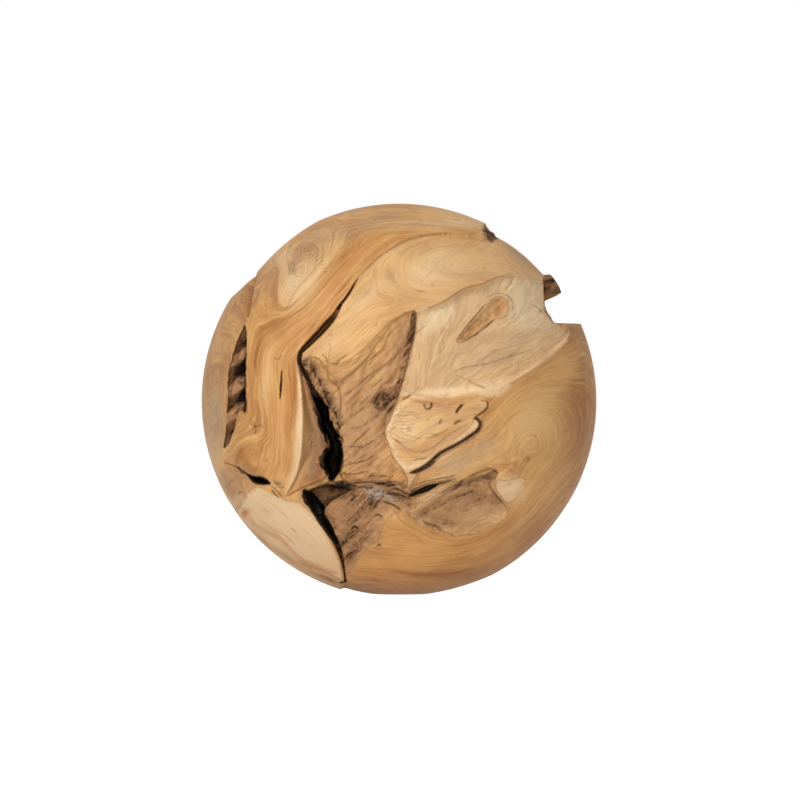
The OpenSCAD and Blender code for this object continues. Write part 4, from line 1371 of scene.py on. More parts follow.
class Painter:
    """Works out what each vertex of the ball carries for the wood's material."""

    wave_size, fine_size = 9, 3  # of the noise that breaks up edges, in millimetres
    turn = -22, 8  # depths between which the front's paint gives way to the back's

    def __init__(self, relief: Relief) -> None:
        """Keeps the relief that the paint follows.

        Args:
            relief: what is cut into the ball.
        """
        self.relief = relief
        self.cuts = {**relief.front, **relief.radial}
        self.mm = relief.mm
        self.growth = Growth()
        self.noise = Noise(41)

    def mask(self, points: Array, name: str, soft: float = 1.4, shift: float = 0.0) -> Array:
        """The mask of one of the openings, on the open face only."""
        cut = self.cuts[name]
        seen = cut.inside(points, soft, shift)
        return seen if cut.radial else seen * (points[:, 1] < 5)

    def paint(self, points: Array) -> dict[Channel, Array]:
        """Works out every channel.

        Args:
            points: vertices on the cut surface, in place units.

        Returns:
            One value a vertex for each channel.
        """
        places = points[:, [0, 2]]
        names = self.growth.lobe_of(points, self.relief)
        names[points[:, 1] > 10] = "behind"
        wave = self.noise.rough(points / (self.wave_size * self.mm))
        fine = self.noise.rough(points / (self.fine_size * self.mm) + 50)
        behind = smoothstep(*self.turn, points[:, 1] + 5 * wave)
        ahead = 1 - behind
        out = {channel: np.zeros(len(points)) for channel in Channel}
        out[Channel.FIGURE] = self.growth.age(points, names)
        for name, tints in LOBE_TINTS.items():
            held = behind if name == "behind" else (names == name) * ahead
            for channel, amount in zip(TINTED, tints, strict=True):
                out[channel] += amount * held
        for stain in STAINS_AND_PAINTED_SHADING:
            out[stain.channel] += stain.paint(places, wave) * ahead
        out[Channel.BARK] = self.old_skin(points, wave, fine, out[Channel.BARK])
        out[Channel.SHADE] = self.paint_depth_shade(points, out[Channel.SHADE])
        for line in self.relief.lines:
            half = line.width / 2 * self.mm
            gap = line.distance(places, 3) + 0.45 * half * fine
            mark = smoothstep(half * 1.7, half * 0.5, gap) * ahead * line.amount
            mark = mark * np.clip(0.9 + 0.5 * fine, 0, 1)
            held = out[line.channel]
            out[line.channel] = np.maximum(held, mark) if line.amount > 0 else held + mark
        return {c: v if c is Channel.FIGURE else np.clip(v, 0, 1) for c, v in out.items()}

    def old_skin(self, points: Array, wave: Array, fine: Array, bark: Array) -> Array:
        """Paints the root's old skin in the folds.

        Args:
            points: vertices on the cut surface.
            wave: coarse noise.
            fine: fine noise.
            bark: how much of it there is already.

        Returns:
            How much old skin there is.
        """
        places = points[:, [0, 2]]
        for name, soft, amount, spread in OLD_SKINS:
            inside = self.mask(points, name, soft)
            bark = np.maximum(bark * (1 - inside), inside * (amount + spread * wave))
        wedge = self.mask(points, "wedge", 1.6)
        there = WEDGE_SKIN.paint(places, wave) + 0.1 * wave
        there = there * np.where(within(places + 0.9 * fine[:, None], WEDGE_LAP), 0.2, 1)
        bark = np.where(wedge > 0.01, wedge * np.clip(there, 0, 1), bark)
        away = np.linalg.norm((points - FAR_NOTCH[0]) / FAR_NOTCH[1], axis=1)
        far = smoothstep(1.1, 0.8, away + 0.15 * wave)
        bark = np.maximum(bark, far * (0.72 + 0.2 * wave))
        for name, soft, stain in (("patch", 4, PATCH_SKIN), ("field", 8, FIELD_SKIN)):
            there = np.clip(stain.paint(places, wave) + 0.16 * wave, 0, 1)
            bark = np.maximum(bark, self.mask(points, name, soft) * there)
        return np.maximum(bark, self.mask(points, "nick", 1, 1.5) * 0.95)

    def paint_depth_shade(self, points: Array, shade: Array) -> Array:
        """Paints shade on what lies deep in the clefts.

        Args:
            points: vertices on the cut surface.
            shade: how dark it is already.

        Returns:
            How dark it is.
        """
        sunk = (R - np.linalg.norm(points, axis=1)) / self.mm
        strip = smoothstep(1, 5, points[:, 2]) * smoothstep(46, 38, points[:, 2])
        for name, low, high, most in DEPTH_SHADE:
            cut = self.cuts[name]
            inside = cut.inside(points, 1.5, -0.8 if isinstance(cut, Cleft) else 0)
            deep = smoothstep(low, high, sunk) * (inside > 0) * most
            shade = np.maximum(shade, deep * (1 - 0.45 * strip) if name == "heart" else deep)
        return shade


# How much old skin the openings carry: softness of the edge, amount and how much it varies.
OLD_SKINS = (
    ("knot", 3, 0.12, 0.08), ("side", 1.4, 0.6, 0.15), ("cave", 1.4, 0.68, 0.1), ("hole", 1.4, 0.9, 0.1),
    ("crevice", 1.4, 0.9, 0.1),
)

# Centre and half sizes of the old skin where the notch ends behind.
FAR_NOTCH = np.array([80, 3, 57.5]), np.array([10, 17, 9.5])

# Where painted shade darkens the openings: from which depth to which, in millimetres, and how dark at most.
DEPTH_SHADE = (
    ("heart", 9, 22, 1.0), ("wall", 32, 50, 0.9), ("cave", 26, 44, 0.7), ("crevice", 10, 20, 1.0),
    ("side", 8.5, 12.5, 0.96), ("hole", 3, 10, 1.0), ("top_seam", 1, 4, 0.9), ("groove", 6, 12, 0.5),
    ("island_gap", 5, 9, 0.5), ("island_corner", 3, 8, 0.7), ("ledge_slit", 2, 5, 0.97),
    ("check", 1.5, 5, 0.9), ("fold_seam", 6, 13, 0.75),
)

# Each lobe's own tint, one amount for each of these channels.
TINTED = Channel.TONE, Channel.SAP, Channel.WARM, Channel.GREY, Channel.CALM, Channel.COMB
LOBE_TINTS = {
    "sweep": (0.53, 0, 0.05, 0, 0, 0),
    "pale": (0.6, 0.12, 0, 0, 0.2, 0),
    "finger": (0.46, 0, 0.08, 0, 0.1, 0),
    "side": (0.45, 0, 0, 0.16, 0.1, 0),
    "fan": (0.7, 0.14, 0, 0, 0.45, 0),
    "scoop": (0.74, 0.42, 0, 0.08, 0.65, 0.5),
    "right": (0.65, 0, 0.05, 0, 0.45, 0),
    "patch": (0.75, 0.15, 0, 0.03, 0.4, 0.6),
    "island": (0.8, 0.25, 0, 0, 0.3, 0.2),
    "wedge": (0.6, 0, 0, 0, 0.6, 0.6),
    "lower_left": (1.0, 0.85, 0.06, 0, 0.75, 0),
    "behind": (0.55, 0, 0.08, 0, 0.2, 0),
}

# Soft stains, and painted light and shade: x, z, half length, half width, angle, amount.
STAINS_AND_PAINTED_SHADING = (
    Stain(Channel.COMB, (
        (28, -31, 20, 8, 28, 0.7), (-14, -40.6, 22, 3, -3, 0.4), (-44, -20, 22, 6, 80, 0.35),
        (-50, -62, 24, 14, -50, 0.25))),
    Stain(Channel.WARM, (
        (-62, -8, 26, 2.6, 88, 0.45), (-54.5, -4, 24, 2, 89, 0.55), (-60, 25, 16, 6, 60, 0.2),
        (-8, 77, 20, 2.6, 32, 0.55), (-26, 66, 20, 2.4, 48, 0.5), (-38, 58, 20, 2, 48, 0.4),
        (-45, 42, 26, 2.4, 48, 0.4), (-18, 79, 16, 2, 34, 0.35), (20, 65, 18, 5, 10, 0.1),
        (-68, 44, 6, 3, 50, 0.35), (-89, 12, 12, 1.8, 84, 0.35), (-86.5, 34, 7, 1.8, 66, 0.3),
        (70, 10, 22, 7, 30, 0.15), (-66, -36, 8, 5, 20, 0.2), (40, -72, 30, 4, 15, 0.2),
        (5, -82, 22, 4, 0, 0.15), (-77, -56, 3, 2, 30, 0.6), (-67, -55, 3, 1.5, -30, 0.35),
        (-62, -66, 7, 1.3, -42, 0.4), (-78, -57, 2.4, 4, 10, 0.6), (-70, -66, 8, 2.4, -46, 0.3),
        (-53, -76, 8, 1.3, -40, 0.45), (-45, -84, 6, 1.6, -35, 0.4), (24, -3.6, 14, 3, 0, 0.3),
        (24, -16, 15, 2.2, 32, 0.4), (10, -24, 12, 2.4, 10, 0.3), (18, 0.5, 16, 2.2, -4, 0.35),
        (33, 0.5, 10, 2.5, 10, 0.3), (15, -20, 18, 2.2, 28, 0.3), (22, 35, 2.2, 1.6, 0, 0.5),
        (64, 33, 6, 2.5, 20, 0.2), (50.5, 47.5, 6, 4, 40, 0.75), (-64, 62, 6, 4, 70, 0.2),
        (28, 52, 14, 1.6, 28, 0.4), (54, 62, 12, 1.2, 0, 0.3))),
    # painted shade darkens the tone along the right and lower right edge, and painted light lightens it along
    # the bottom and the left edge
    Stain(Channel.TONE, (
        (-82, -51, 6, 4, 40, 0.4), (86, 18, 12, 6, 60, 0.35), (66, 46, 18, 12, 20, 0.9),
        (28, 46, 12, 5, 30, 0.5), (14, 28, 16, 6, 85, -0.3), (51, 47, 5, 4, 40, 0.5),
        (55, -44, 8, 6, 0, 0.7), (65, -8, 22, 12, 60, 0.4), (30, 92, 20, 4, -14, 0.8),
        (0, 86, 20, 3, 0, 0.3), (20, -74, 30, 6, 6, 0.3), (-92, -25, 10, 6, 80, 0.8),
        (-93, 0, 20, 5, 88, 0.45), (-62, -30, 12, 7, 80, 0.3), (-47, -12, 26, 2.2, 86, 0.6),
        (-44, -24, 22, 5, 78, 0.3), (-50, -40, 6, 5, 60, 0.5), (8, -93.6, 26, 4, 0, 1),
        (20, 68, 22, 9, 15, 0.25), (92, -8, 8, 40, 0, -0.6), (72, -62, 22, 7, 48, -0.4),
        (20, -87, 24, 3.2, 0, -0.5), (-52, -2, 26, 1.8, 89, -0.5), (8, -80, 22, 4, 4, 0.3),
        (30, -30, 14, 5, 28, 0.3), (-62, -42, 12, 5, 20, 0.35), (-66, 14, 18, 4, 84, 0.25),
        (10, -16, 10, 6, 0, 0.1))),
    Stain(Channel.SAP, (
        (22, 43, 14, 7, 30, 0.5), (60, 56, 14, 6, -20, 0.4), (62, 44, 12, 6, 10, 0.4),
        (-46, 58, 16, 7, 55, 0.45), (-18, 50, 18, 5, 45, 0.25), (18, 89, 26, 2.6, 0, 0.5),
        (60, 52, 18, 8, 20, 0.3), (72, 38, 12, 5, 10, 0.35), (26, 5, 22, 2.2, 3, 0.75),
        (46, 8, 10, 2.2, 25, 0.6), (16, -47, 14, 2, 26, 0.5), (55, -44, 9, 7, 0, 0.7),
        (-49.5, -38, 8, 3, 60, 0.4), (30, -31, 18, 7, 28, 0.3), (24, 66, 26, 10, 15, 0.35),
        (-60, 72, 10, 6, 60, 0.4), (30, 92, 20, 4, -14, 0.3), (-92, -25, 8, 6, 80, 0.2),
        (-42, -34.5, 3.5, 2, 20, 0.7), (-46, -30, 4, 10, 20, 0.25), (66, 45, 16, 10, 40, 0.25),
        (65, -10, 22, 12, 60, 0.2), (14, 67, 14, 8, 40, 0.25), (-50.5, -14, 26, 1.6, 86, 0.75),
        (-54, 60, 9, 4.5, 64, 0.45), (-66, 12, 16, 3, 84, 0.3), (-50, -65, 20, 12, -50, 0.3),
        (-54, -40, 6, 2, 65, 0.4), (-82, -51, 6, 4, 40, 0.5), (3.7, -12.9, 7.5, 7, 0, 0.35),
        (2, -32, 5, 2.2, -40, 0.5), (20, -29, 16, 1.8, 30, 0.6), (-4, -22, 7, 1.5, 75, 0.4),
        (-34, 28, 8, 5, 30, 0.2), (16, 40, 8, 5, 60, 0.3))),
    Stain(Channel.GREY, (
        (-55, 66, 16, 9, 40, 0.22), (-93, -8, 24, 5, 88, 0.4), (-86, -12, 10, 4, 80, 0.25),
        (44, 20, 26, 4, 17, 0.2), (26, 24, 9, 4, 40, 0.14), (60, 32, 14, 3.4, 20, 0.2),
        (36, 33, 8, 2.4, 42, 0.15), (-24, 84, 22, 4, 22, 0.2), (-18, 95, 20, 3, 0, 0.2),
        (30, -30, 13, 4.6, 28, 0.32), (44, -21, 6, 4, 40, 0.3), (-8, -1.5, 6, 7, 50, 0.35),
        (-41, -20, 22, 4.5, 80, 0.75), (-40, 84, 12, 5, 30, 0.3), (60, 74, 16, 4, -45, 0.2),
        (-14, 90, 16, 3, 14, 0.25))),
    Stain(Channel.BARK, (
        (45.6, 84.3, 3.2, 1.2, -22, 0.95), (-46.4, 15.5, 8, 2.6, -66, 0.9), (-42.6, 6.5, 6, 2.2, -64, 0.8),
        (-14, -40.8, 19, 2, -3, 0.6), (3.5, -44.6, 6, 2.2, -42, 0.55), (-37, 12, 9, 3, -66, 0.3),
        (87, 35.8, 5, 3, -12, 0.45), (-64, 57, 7.5, 2.6, 78, 0.16), (-76, -37, 8, 3, -20, 0.3),
        (-84, -40, 6, 4, 40, 0.25), (-92, -44, 4, 6, 60, 0.2), (-61, -41.6, 3, 2, -30, 0.4),
        (84, -12, 18, 6, 75, 0.12), (86, -34, 16, 6, 60, 0.15), (60, -66, 18, 5, 38, 0.12),
        (74, 22, 8, 4, 30, 0.15), (64, 73, 12, 4, -45, 0.15), (38, -26, 14, 5, 30, 0.15),
        (-71, -69, 10, 1.8, -46, 0.3), (-55, -80, 16, 2.2, -36, 0.36), (-36, -89.5, 9, 1.8, -22, 0.55))),
    Stain(Channel.DUST, (
        (-12, -46, 5, 3.5, -10, 1.3), (-5, -48.5, 5, 2, -20, 0.9), (-41, -56, 3, 5, 60, 0.2))),
    # dark pits and holes, and painted shadow inside the cave and under the lips over the field and the cave
    Stain(Channel.SHADE, (
        (92, -8, 3, 1.6, 60, 0.25), (83, -15, 2, 1.3, 20, 0.25), (64.5, -28.5, 0.7, 0.7, 0, 0.7),
        (58, -68.5, 0.8, 0.8, 0, 0.6), (17, 58, 0.8, 0.7, 0, 0.35), (42.5, 66, 0.9, 0.7, 0, 0.35),
        (-2, 65, 0.8, 0.7, 0, 0.3), (-45.5, 21, 1.2, 3.5, -35, 0.7), (-31, -40.6, 4, 1, 0, 0.5),
        (-45.4, -47, 4, 3.4, -50, 1.1), (-32, -42.6, 8, 2, -8, 0.9), (-26, -42.6, 5, 1.8, -12, 0.9))),
)

# The same for the old skin of the brown patch, the rough field and the wedge.
PATCH_SKIN = Stain(Channel.BARK, (
    (28, -53, 26, 8, 24, 0.4), (40, -50, 20, 9, 24, 0.3), (40, -38.6, 13, 3, 18, 0.9),
    (50, -49, 9, 3.4, 50, 0.5), (19, -59, 12, 2.6, -18, 0.4), (14, -54, 12, 1.6, 34, 0.4),
    (28, -42.4, 16, 1.8, 24, 0.4), (30, -47, 18, 2.4, 24, 0.2), (36, -62, 12, 2.6, -4, 0.2)))
FIELD_SKIN = Stain(Channel.BARK, (
    (-23, -56, 22, 17, 60, 0.46), (-13, -49, 14, 7, -10, 0.4), (-1, -47, 9, 3.6, -35, 0.6),
    (-26, -76, 14, 7, 76, 0.6), (-16, -68, 12, 6, 50, 0.3), (-30, -46, 12, 4, -10, 0.35),
    (-34, -60, 14, 2.4, -62, 0.3), (4, -50, 8, 2, -50, 0.3)))
WEDGE_SKIN = Stain(Channel.BARK, (
    (-20, -14, 28, 18, 60, 0.3), (-14, 8, 28, 10, 50, 0.15), (2, 30, 18, 5, 72, 0.35),
    (7, 34, 12, 2.2, 78, 0.75), (4.4, 18, 14, 2.6, 72, 0.75), (-2, 2, 12, 3, 60, 0.5),
    (-7.6, 0.2, 6.5, 5, 50, 0.9), (-8, 1, 9, 3, 62, 0.3), (-7, -14, 7, 3, 80, 0.35),
    (-36.5, 2, 12, 2.6, -64, 0.35), (-30, -8, 10, 2.2, -72, 0.3), (-38, 8, 12, 3.6, -62, 0.45),
    (-33, -4, 8, 3, -66, 0.35), (-43, 17, 6, 3, -55, 0.5), (-19, -25, 14, 7, 20, 0.25),
    (-12, -33, 10, 3, 5, 0.2)))


def node(tree: bpy.types.NodeTree, kind: str, inputs: dict | None = None,
         **settings: object) -> bpy.types.Node:
    """Adds a shader node with its settings and links.

    Args:
        tree: the node tree.
        kind: the node's type name after "ShaderNode".
        inputs: socket name or number to a value, or to an output socket to link.
        **settings: the node's own properties.

    Returns:
        The new node.
    """
    made = tree.nodes.new(f"ShaderNode{kind}")
    for name, value in settings.items():
        setattr(made, name, value)
    for name, value in (inputs or {}).items():
        if isinstance(value, Socket):
            tree.links.new(value, made.inputs[name])
        else:
            made.inputs[name].default_value = value
    return made


class Graph:
    """A material's or the world's nodes, written as formulas."""

    def __init__(self, owner: bpy.types.Material | bpy.types.World) -> None:
        """Takes over a material's or a world's empty tree.

        Args:
            owner: what the nodes belong to.
        """
        owner.use_nodes = True
        self.tree = owner.node_tree
        self.tree.nodes.clear()

    def shader(self, kind: str, inputs: dict) -> Socket:
        """The output of a shader node."""
        return node(self.tree, kind, inputs).outputs[0]

    def math(self, operation: str, *values: Value, clamp: bool = False) -> Socket:
        """The result of one sum."""
        made = node(self.tree, "Math", dict(enumerate(values)), operation=operation, use_clamp=clamp)
        return made.outputs[0]

    def product(self, *values: Value) -> Socket:
        """Two or more values multiplied."""
        return reduce(lambda first, second: self.math("MULTIPLY", first, second), values)

    def ramp(self, value: Socket, low: float, high: float, first: float = 0.0, last: float = 1.0,
             **settings: object) -> Socket:
        """Runs from first to last where the value runs from low to high."""
        ends = {"Value": value, "From Min": low, "From Max": high, "To Min": first, "To Max": last}
        return node(self.tree, "MapRange", ends, **settings).outputs[0]

    def centred(self, noise: Socket, size: float) -> Socket:
        """Makes a noise of 0 to 1 run from -size to size."""
        return self.ramp(noise, 0.2, 0.8, -size, size, clamp=False)

    def noise(self, size: float, detail: float, roughness: float = 0.5, **where: Socket) -> Socket:
        """Noise of 0 to 1.

        Args:
            size: how large its bumps are.
            detail: how many finer layers it has.
            roughness: how strong they are.
            **where: the place as "Vector", or a single value as "W", or both.

        Returns:
            The noise.
        """
        inputs = {**where, "Scale": 1 / size, "Detail": detail, "Roughness": roughness}
        kind = {"Vector": "3D", "W": "1D"}[next(iter(where))] if len(where) == 1 else "4D"
        return node(self.tree, "TexNoise", inputs, noise_dimensions=kind).outputs["Fac"]

    def blend(self, amount: Value, first: Socket | tuple, code: str) -> Socket:
        """Mixes a hex colour into another colour."""
        return node(self.tree, "Mix", {0: amount, 6: first, 7: srgb(code)}, data_type="RGBA").outputs[2]

    def seen_directly(self) -> Socket:
        """Gives 1 to the lens and in mirrored or clear surfaces, and 0 to light that falls on things."""
        path = node(self.tree, "LightPath").outputs
        seen = self.math("MAXIMUM", path["Is Camera Ray"], path["Is Glossy Ray"])
        return self.math("MAXIMUM", seen, path["Is Transmission Ray"])


@dataclass(frozen=True)
class TurnedTeak:
    """Teak root, turned, sanded and lightly oiled: honey brown, with dark growth lines.

    The turned skin is satin. Where the root's own skin stays in the folds it is rough and fibrous,
    with painted shade in its pits and painted highlights on its fibres, and painted shade makes it
    nearly black deep in the openings. Lengths are millimetres.
    """

    name: str = "teak_root_turned_and_oiled"
    heartwood: str = "#A86E3C"
    honey: str = "#E0AD6E"
    sapwood: str = "#EFD0A4"
    orange: str = "#BF7F46"
    late_wood: str = "#8A5B34"
    weathered: str = "#8F8270"
    old_skin: str = "#B4865D"
    # dark old skin, which also paints shade in the skin's pits
    old_skin_dark_and_pit_shade: str = "#4C3220"
    # painted highlight on the skin's proud fibres
    fibre_highlight: str = "#DAB387"
    # near-black of dark cracks and pits, and painted shade deep in the openings
    rot: str = "#160D08"
    cobweb: str = "#B4B0A8"
    wave: float = 26.0  # how far apart the growth lines' larger bends are
    tremor: float = 7.0  # and their smaller ones
    fibre_length: float = 26.0
    roughness: float = 0.55
    rough_skin: float = 0.85  # roughness of the old skin
    sheen: float = 0.12  # how strong the oil's reflection is
    ior: float = 1.5

    def make(self) -> bpy.types.Material:
        """Builds the material."""
        material = bpy.data.materials.new(self.name)
        TeakGraph(material, self).finish()
        return material


class TeakGraph(Graph):
    """The nodes of turned teak. Places are in millimetres and ages in rings."""

    def __init__(self, material: bpy.types.Material, teak: TurnedTeak) -> None:
        """Reads what the mesh carries.

        Args:
            material: the material to fill.
            teak: its colours and sizes.
        """
        super().__init__(material)
        self.teak = teak
        coords = node(self.tree, "TexCoord").outputs["Object"]
        self.place = self.scaled(coords, 1 / MM)
        self.held = {c: self.carried(c.value) for c in Channel}
        self.age = self.layers(self.held[Channel.FIGURE])
        self.sanded = self.fibre(3.2, teak.fibre_length)
        self.torn = self.fibre(0.8, teak.fibre_length)
        self.crumbs = self.noise(3.2, 4.0, 0.75, Vector=self.place)

    def carried(self, name: str) -> Socket:
        """A value that the mesh's vertices carry."""
        return node(self.tree, "Attribute", attribute_name=name).outputs["Fac"]

    def scaled(self, vector: Socket, amount: float) -> Socket:
        """A vector times a number."""
        return node(self.tree, "VectorMath", {0: vector, "Scale": amount}, operation="SCALE").outputs[0]

    def layers(self, figure: Socket) -> Socket:
        """Makes the growth layers waver and differ in thickness.

        Args:
            figure: the smooth age that the mesh carries.

        Returns:
            The age.
        """
        for size, amount in ((self.teak.wave, 0.9), (self.teak.tremor, 0.14)):
            bend = self.noise(size, 1.5, Vector=self.place)
            figure = self.math("ADD", figure, self.centred(bend, amount))
        uneven = self.noise(1 / 0.42, 1.0, W=figure)
        return self.math("ADD", figure, self.centred(uneven, 1.3))

    def fibre(self, across: float, length: float) -> Socket:
        """Streaks that run along the growth layers.

        Args:
            across: streaks in a ring.
            length: how long a streak is.

        Returns:
            Noise of 0 to 1.
        """
        along = self.scaled(self.place, 1 / length)
        return self.noise(1.0, 3.0, 0.6, Vector=along, W=self.product(self.age, across))

    def wood(self) -> Socket:
        """Colours the turned wood with its bands, growth lines and fibres.

        Returns:
            The colour.
        """
        teak, held = self.teak, self.held
        plain = self.ramp(held[Channel.CALM], 0, 1, 1, 0)
        band = self.centred(self.fibre(0.28, 90), 0.75)
        band = self.math("MULTIPLY_ADD", band, plain, held[Channel.TONE])
        cloud = self.centred(self.noise(30, 3.0, Vector=self.place), 0.3)
        tone = self.math("ADD", self.math("ADD", band, cloud), self.centred(self.sanded, 0.6), clamp=True)
        colour = self.blend(tone, srgb(teak.heartwood), teak.honey)
        colour = self.blend(held[Channel.SAP], colour, teak.sapwood)
        colour = self.blend(held[Channel.WARM], colour, teak.orange)
        colour = self.blend(held[Channel.GREY], colour, teak.weathered)
        ring = self.math("FRACT", self.age)
        late = self.ramp(ring, 0.35, 0.96, interpolation_type="SMOOTHSTEP")
        early = self.ramp(ring, 1.0, 0.93)
        faint = self.ramp(self.noise(38, 2.0, Vector=self.place), 0.35, 0.68, 0.08, 0.5)
        which = self.ramp(self.noise(1 / 0.8, 0.0, W=self.age), 0.3, 0.65, 0.3)
        colour = self.blend(self.product(late, early, faint, which, plain), colour, teak.late_wood)
        pore = self.ramp(self.fibre(3.4, 9.0), 0.58, 0.7, 0, 0.42)
        colour = self.blend(pore, colour, teak.late_wood)
        comb = self.product(self.centred(self.torn, 1.0), held[Channel.COMB])
        colour = self.blend(self.ramp(comb, 0, -0.6, 0, 0.5), colour, teak.late_wood)
        return self.blend(self.ramp(comb, 0, 0.6, 0, 0.5), colour, teak.sapwood)

    def skin(self, colour: Socket) -> Socket:
        """Lays the old skin, with painted shade in its pits and painted highlights on its proud fibres, the
        painted shade and dark cracks, and the dust over the wood.

        Args:
            colour: the wood's colour.

        Returns:
            The colour.
        """
        teak, held = self.teak, self.held
        bark = held[Channel.BARK]
        blotch = self.noise(9, 4.0, 0.65, Vector=self.place)
        swing = self.product(bark, self.centred(blotch, 0.22))
        # the torn and crumbly noise paints shade in the skin's pits and highlights on its proud fibres
        pit_and_fibre_noise = self.math("ADD", self.centred(self.torn, 1.3), self.centred(self.crumbs, 0.9))
        dark = self.math("ADD", bark, self.math("ADD", swing, self.product(bark, pit_and_fibre_noise)))
        fresh = self.ramp(bark, 0, 0.5)
        colour = self.blend(fresh, colour, teak.old_skin)
        fibre_highlight_mask = self.product(self.ramp(dark, 0.45, 0.05, 0, 0.5), fresh)
        colour = self.blend(fibre_highlight_mask, colour, teak.fibre_highlight)
        colour = self.blend(self.ramp(dark, 0.55, 1.2), colour, teak.old_skin_dark_and_pit_shade)
        # painted shade deep in the openings and under lips, and dark cracks
        colour = self.blend(held[Channel.SHADE], colour, teak.rot)
        specks = self.ramp(self.noise(2.5, 3.0, Vector=self.place), 0.45, 0.6)
        return self.blend(self.product(specks, held[Channel.DUST]), colour, teak.cobweb)

    def height(self) -> Socket:
        """The fine relief in millimetres: sanded fibres, and torn ones on the old skin."""
        unsanded = self.math("MAXIMUM", self.product(self.held[Channel.COMB], 0.35), self.held[Channel.BARK])
        rough = self.math("MULTIPLY_ADD", self.crumbs, -3.0, self.product(self.torn, -4.5))
        return self.math("MULTIPLY_ADD", rough, unsanded, self.product(self.sanded, 0.12))

    def finish(self) -> None:
        """Joins colour, gloss and relief."""
        bump = node(self.tree, "Bump", {"Height": self.height(), "Distance": MM, "Strength": 1.0})
        gloss = self.ramp(self.held[Channel.BARK], 0, 1, self.teak.roughness, self.teak.rough_skin)
        surface = self.shader("BsdfPrincipled", {
            "Base Color": self.skin(self.wood()), "Roughness": gloss, "IOR": self.teak.ior,
            "Specular IOR Level": self.teak.sheen, "Normal": bump.outputs[0],
        })
        node(self.tree, "OutputMaterial", {"Surface": surface})


def placed(name: str, bm: bmesh.types.BMesh, finish: bpy.types.Material) -> bpy.types.Object:
    """Puts a mesh in the scene.

    Args:
        name: the object's name.
        bm: its mesh, which is freed.
        finish: its material.

    Returns:
        The object.
    """
    mesh = bpy.data.meshes.new(name)
    bm.to_mesh(mesh)
    bm.free()
    mesh.materials.append(finish)
    made = bpy.data.objects.new(name, mesh)
    bpy.context.scene.collection.objects.link(made)
    return made


@dataclass
class WoodenBall:
    """The ball itself: turned, with everything that the root left open in it.

    Attributes:
        low: lowest corner of the CAD solid, in metres.
        high: its highest corner.
        finish: the wood.
    """

    low: Vector
    high: Vector
    finish: TurnedTeak = field(default_factory=TurnedTeak)

    slack = 1.2  # how much longer than its spacing a face's edge may be
    foot_edge = 2  # width of the finer mesh at the flat spot's rim, in place units

    def __post_init__(self) -> None:
        """Works out the ball from its box."""
        self.radius = (self.high.z - self.low.z) / (1 + math.sqrt(1 - FOOT_SHARE**2))
        self.centre = Vector((0, 0, self.high.z - self.radius))
        self.foot_z = (self.low.z - self.centre.z) / self.radius * R
        self.foot_r = math.sqrt(R * R - self.foot_z**2)
        self.relief = Relief(R / (self.radius / MM))

    def refine(self, bm: bmesh.types.BMesh) -> None:
        """Splits the faces where the relief is finer than the mesh.

        Args:
            bm: the plain ball, which gets more faces.
        """
        for size in FACET_SIZES:
            middles = np.array([f.calc_center_median() for f in bm.faces])
            want = self.relief.spacing(middles)
            foot_rim = np.abs(np.hypot(middles[:, 0], middles[:, 1]) - self.foot_r) < self.foot_edge
            want = np.where(foot_rim & (middles[:, 2] < 0), np.minimum(want, FACET_SIZES[1]), want)
            bm.faces.ensure_lookup_table()
            edges = {e for i in np.flatnonzero(want < size * self.slack) for e in bm.faces[i].edges}
            bmesh.ops.subdivide_edges(bm, edges=list(edges), cuts=1, use_grid_fill=True)
            bmesh.ops.triangulate(bm, faces=[f for f in bm.faces if len(f.verts) > 3])
            for v in bm.verts:
                v.co *= R / v.co.length

    def build(self) -> bpy.types.Object:
        """Makes the ball's mesh and paints its figure on it.

        Returns:
            The ball.
        """
        bm = bmesh.new()
        bmesh.ops.create_icosphere(bm, subdivisions=6, radius=R)
        self.refine(bm)
        ball = placed("wooden_ball_turned", bm, self.finish.make())
        mesh = ball.data
        points = np.empty(len(mesh.vertices) * 3)
        mesh.vertices.foreach_get("co", points)
        moved = self.relief.carve(points.reshape(-1, 3))
        moved[:, 2] = np.maximum(moved[:, 2], self.foot_z)
        for channel, values in Painter(self.relief).paint(moved).items():
            layer = mesh.attributes.new(channel.value, "FLOAT", "POINT")
            layer.data.foreach_set("value", values.astype(np.float32))
        mesh.vertices.foreach_set("co", (moved * (self.radius / R) + np.array(self.centre)).ravel())
        mesh.shade_smooth()
        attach(ball, "root")
        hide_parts("wooden_ball")
        return ball


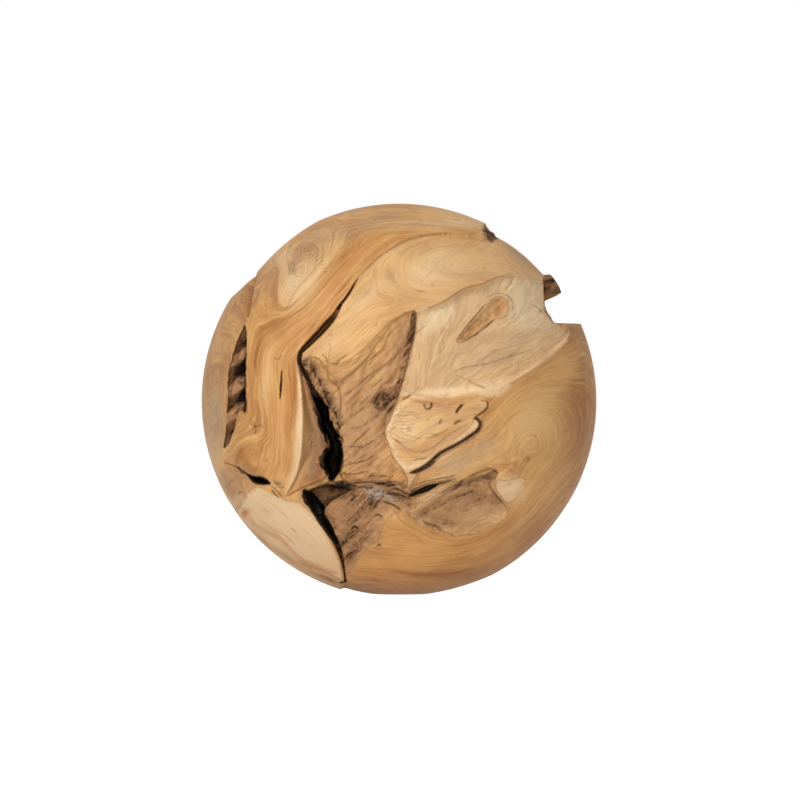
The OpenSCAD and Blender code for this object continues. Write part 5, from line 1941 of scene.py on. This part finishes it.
@dataclass
class Studio:
    """A pale floor, soft lamps and a long lens in front.

    Attributes:
        centre: the ball's centre.
        distance: from the lens to the ball's centre.
        width: how much the frame takes in at the ball, in metres.
        aim: how far the lens stands to the right of and over the centre.
    """

    centre: Vector
    distance: float = 7.0
    width: float = 0.608
    aim: tuple[float, float] = (0.0007, 0.0008)

    def build(self) -> None:
        """Sets up the floor, lamps, world and camera."""
        self.floor()
        self.lamps()
        self.world()
        self.camera()

    def floor(self) -> None:
        """Lays the floor of matt white paint."""
        bm = bmesh.new()
        bmesh.ops.create_grid(bm, x_segments=1, y_segments=1, size=6)
        paint = bpy.data.materials.new("matt_white_studio_floor")
        graph = Graph(paint)
        matt = graph.shader("BsdfPrincipled", {"Base Color": srgb("#F4F4F4"), "Roughness": 0.9})
        glow = graph.shader("Emission", {"Color": srgb("#FFFFFF"), "Strength": graph.seen_directly()})
        node(graph.tree, "OutputMaterial", {"Surface": graph.shader("AddShader", {0: matt, 1: glow})})
        placed("studio_floor", bm, paint)

    def lamps(self) -> None:
        """Hangs the soft lamps: the key at the upper left, one low in front, and one overhead."""
        for name, place, size, power in (
            ("key", (-1.3, -1.5, 1.7), 0.5, 22.0),
            ("fill", (-0.1, -2.4, 0.12), 0.6, 24.5),
            ("top", (-0.1, -0.2, 1.9), 1.2, 6.0),
        ):
            light = bpy.data.lights.new(f"{name}_lamp", "AREA")
            light.energy, light.size = power, size
            lamp = bpy.data.objects.new(f"{name}_lamp", light)
            lamp.location = self.centre + Vector(place)
            lamp.rotation_euler = (self.centre - lamp.location).to_track_quat("-Z", "Y").to_euler()
            bpy.context.scene.collection.objects.link(lamp)

    def world(self) -> None:
        """Lights the room evenly, and shows white to the lens."""
        world = bpy.data.worlds.new("studio_room")
        bpy.context.scene.world = world
        graph = Graph(world)
        room = graph.shader("Background", {"Color": srgb("#FFFFFF"), "Strength": 0.27})
        white = graph.shader("Background", {"Color": srgb("#FFFFFF"), "Strength": 1.0})
        mixed = graph.shader("MixShader", {0: graph.seen_directly(), 1: room, 2: white})
        node(graph.tree, "OutputWorld", {"Surface": mixed})

    def camera(self) -> None:
        """Stands the camera far in front with a long lens, level with the ball."""
        data = bpy.data.cameras.new("front_camera")
        data.sensor_width = 36
        data.lens = data.sensor_width * self.distance / self.width
        data.clip_end = 40
        camera = bpy.data.objects.new("front_camera", data)
        camera.location = self.centre + Vector((self.aim[0], -self.distance, self.aim[1]))
        camera.rotation_euler = (math.pi / 2, 0, 0)
        bpy.context.scene.collection.objects.link(camera)
        bpy.context.scene.camera = camera


def main() -> None:
    """Builds the ball and its studio, and logs the ball's size."""
    logging.basicConfig(level=logging.INFO, format="%(message)s")
    ball = WoodenBall(Vector(cad_box[0]), Vector(cad_box[1]))
    piece = ball.build()
    log.info("ball: %d vertices, radius %.1f mm", len(piece.data.vertices), ball.radius / MM)
    Studio(ball.centre).build()
    bpy.context.scene.view_settings.view_transform = "Standard"
    bpy.context.view_layer.update()


if __name__ == "__main__":
    main()
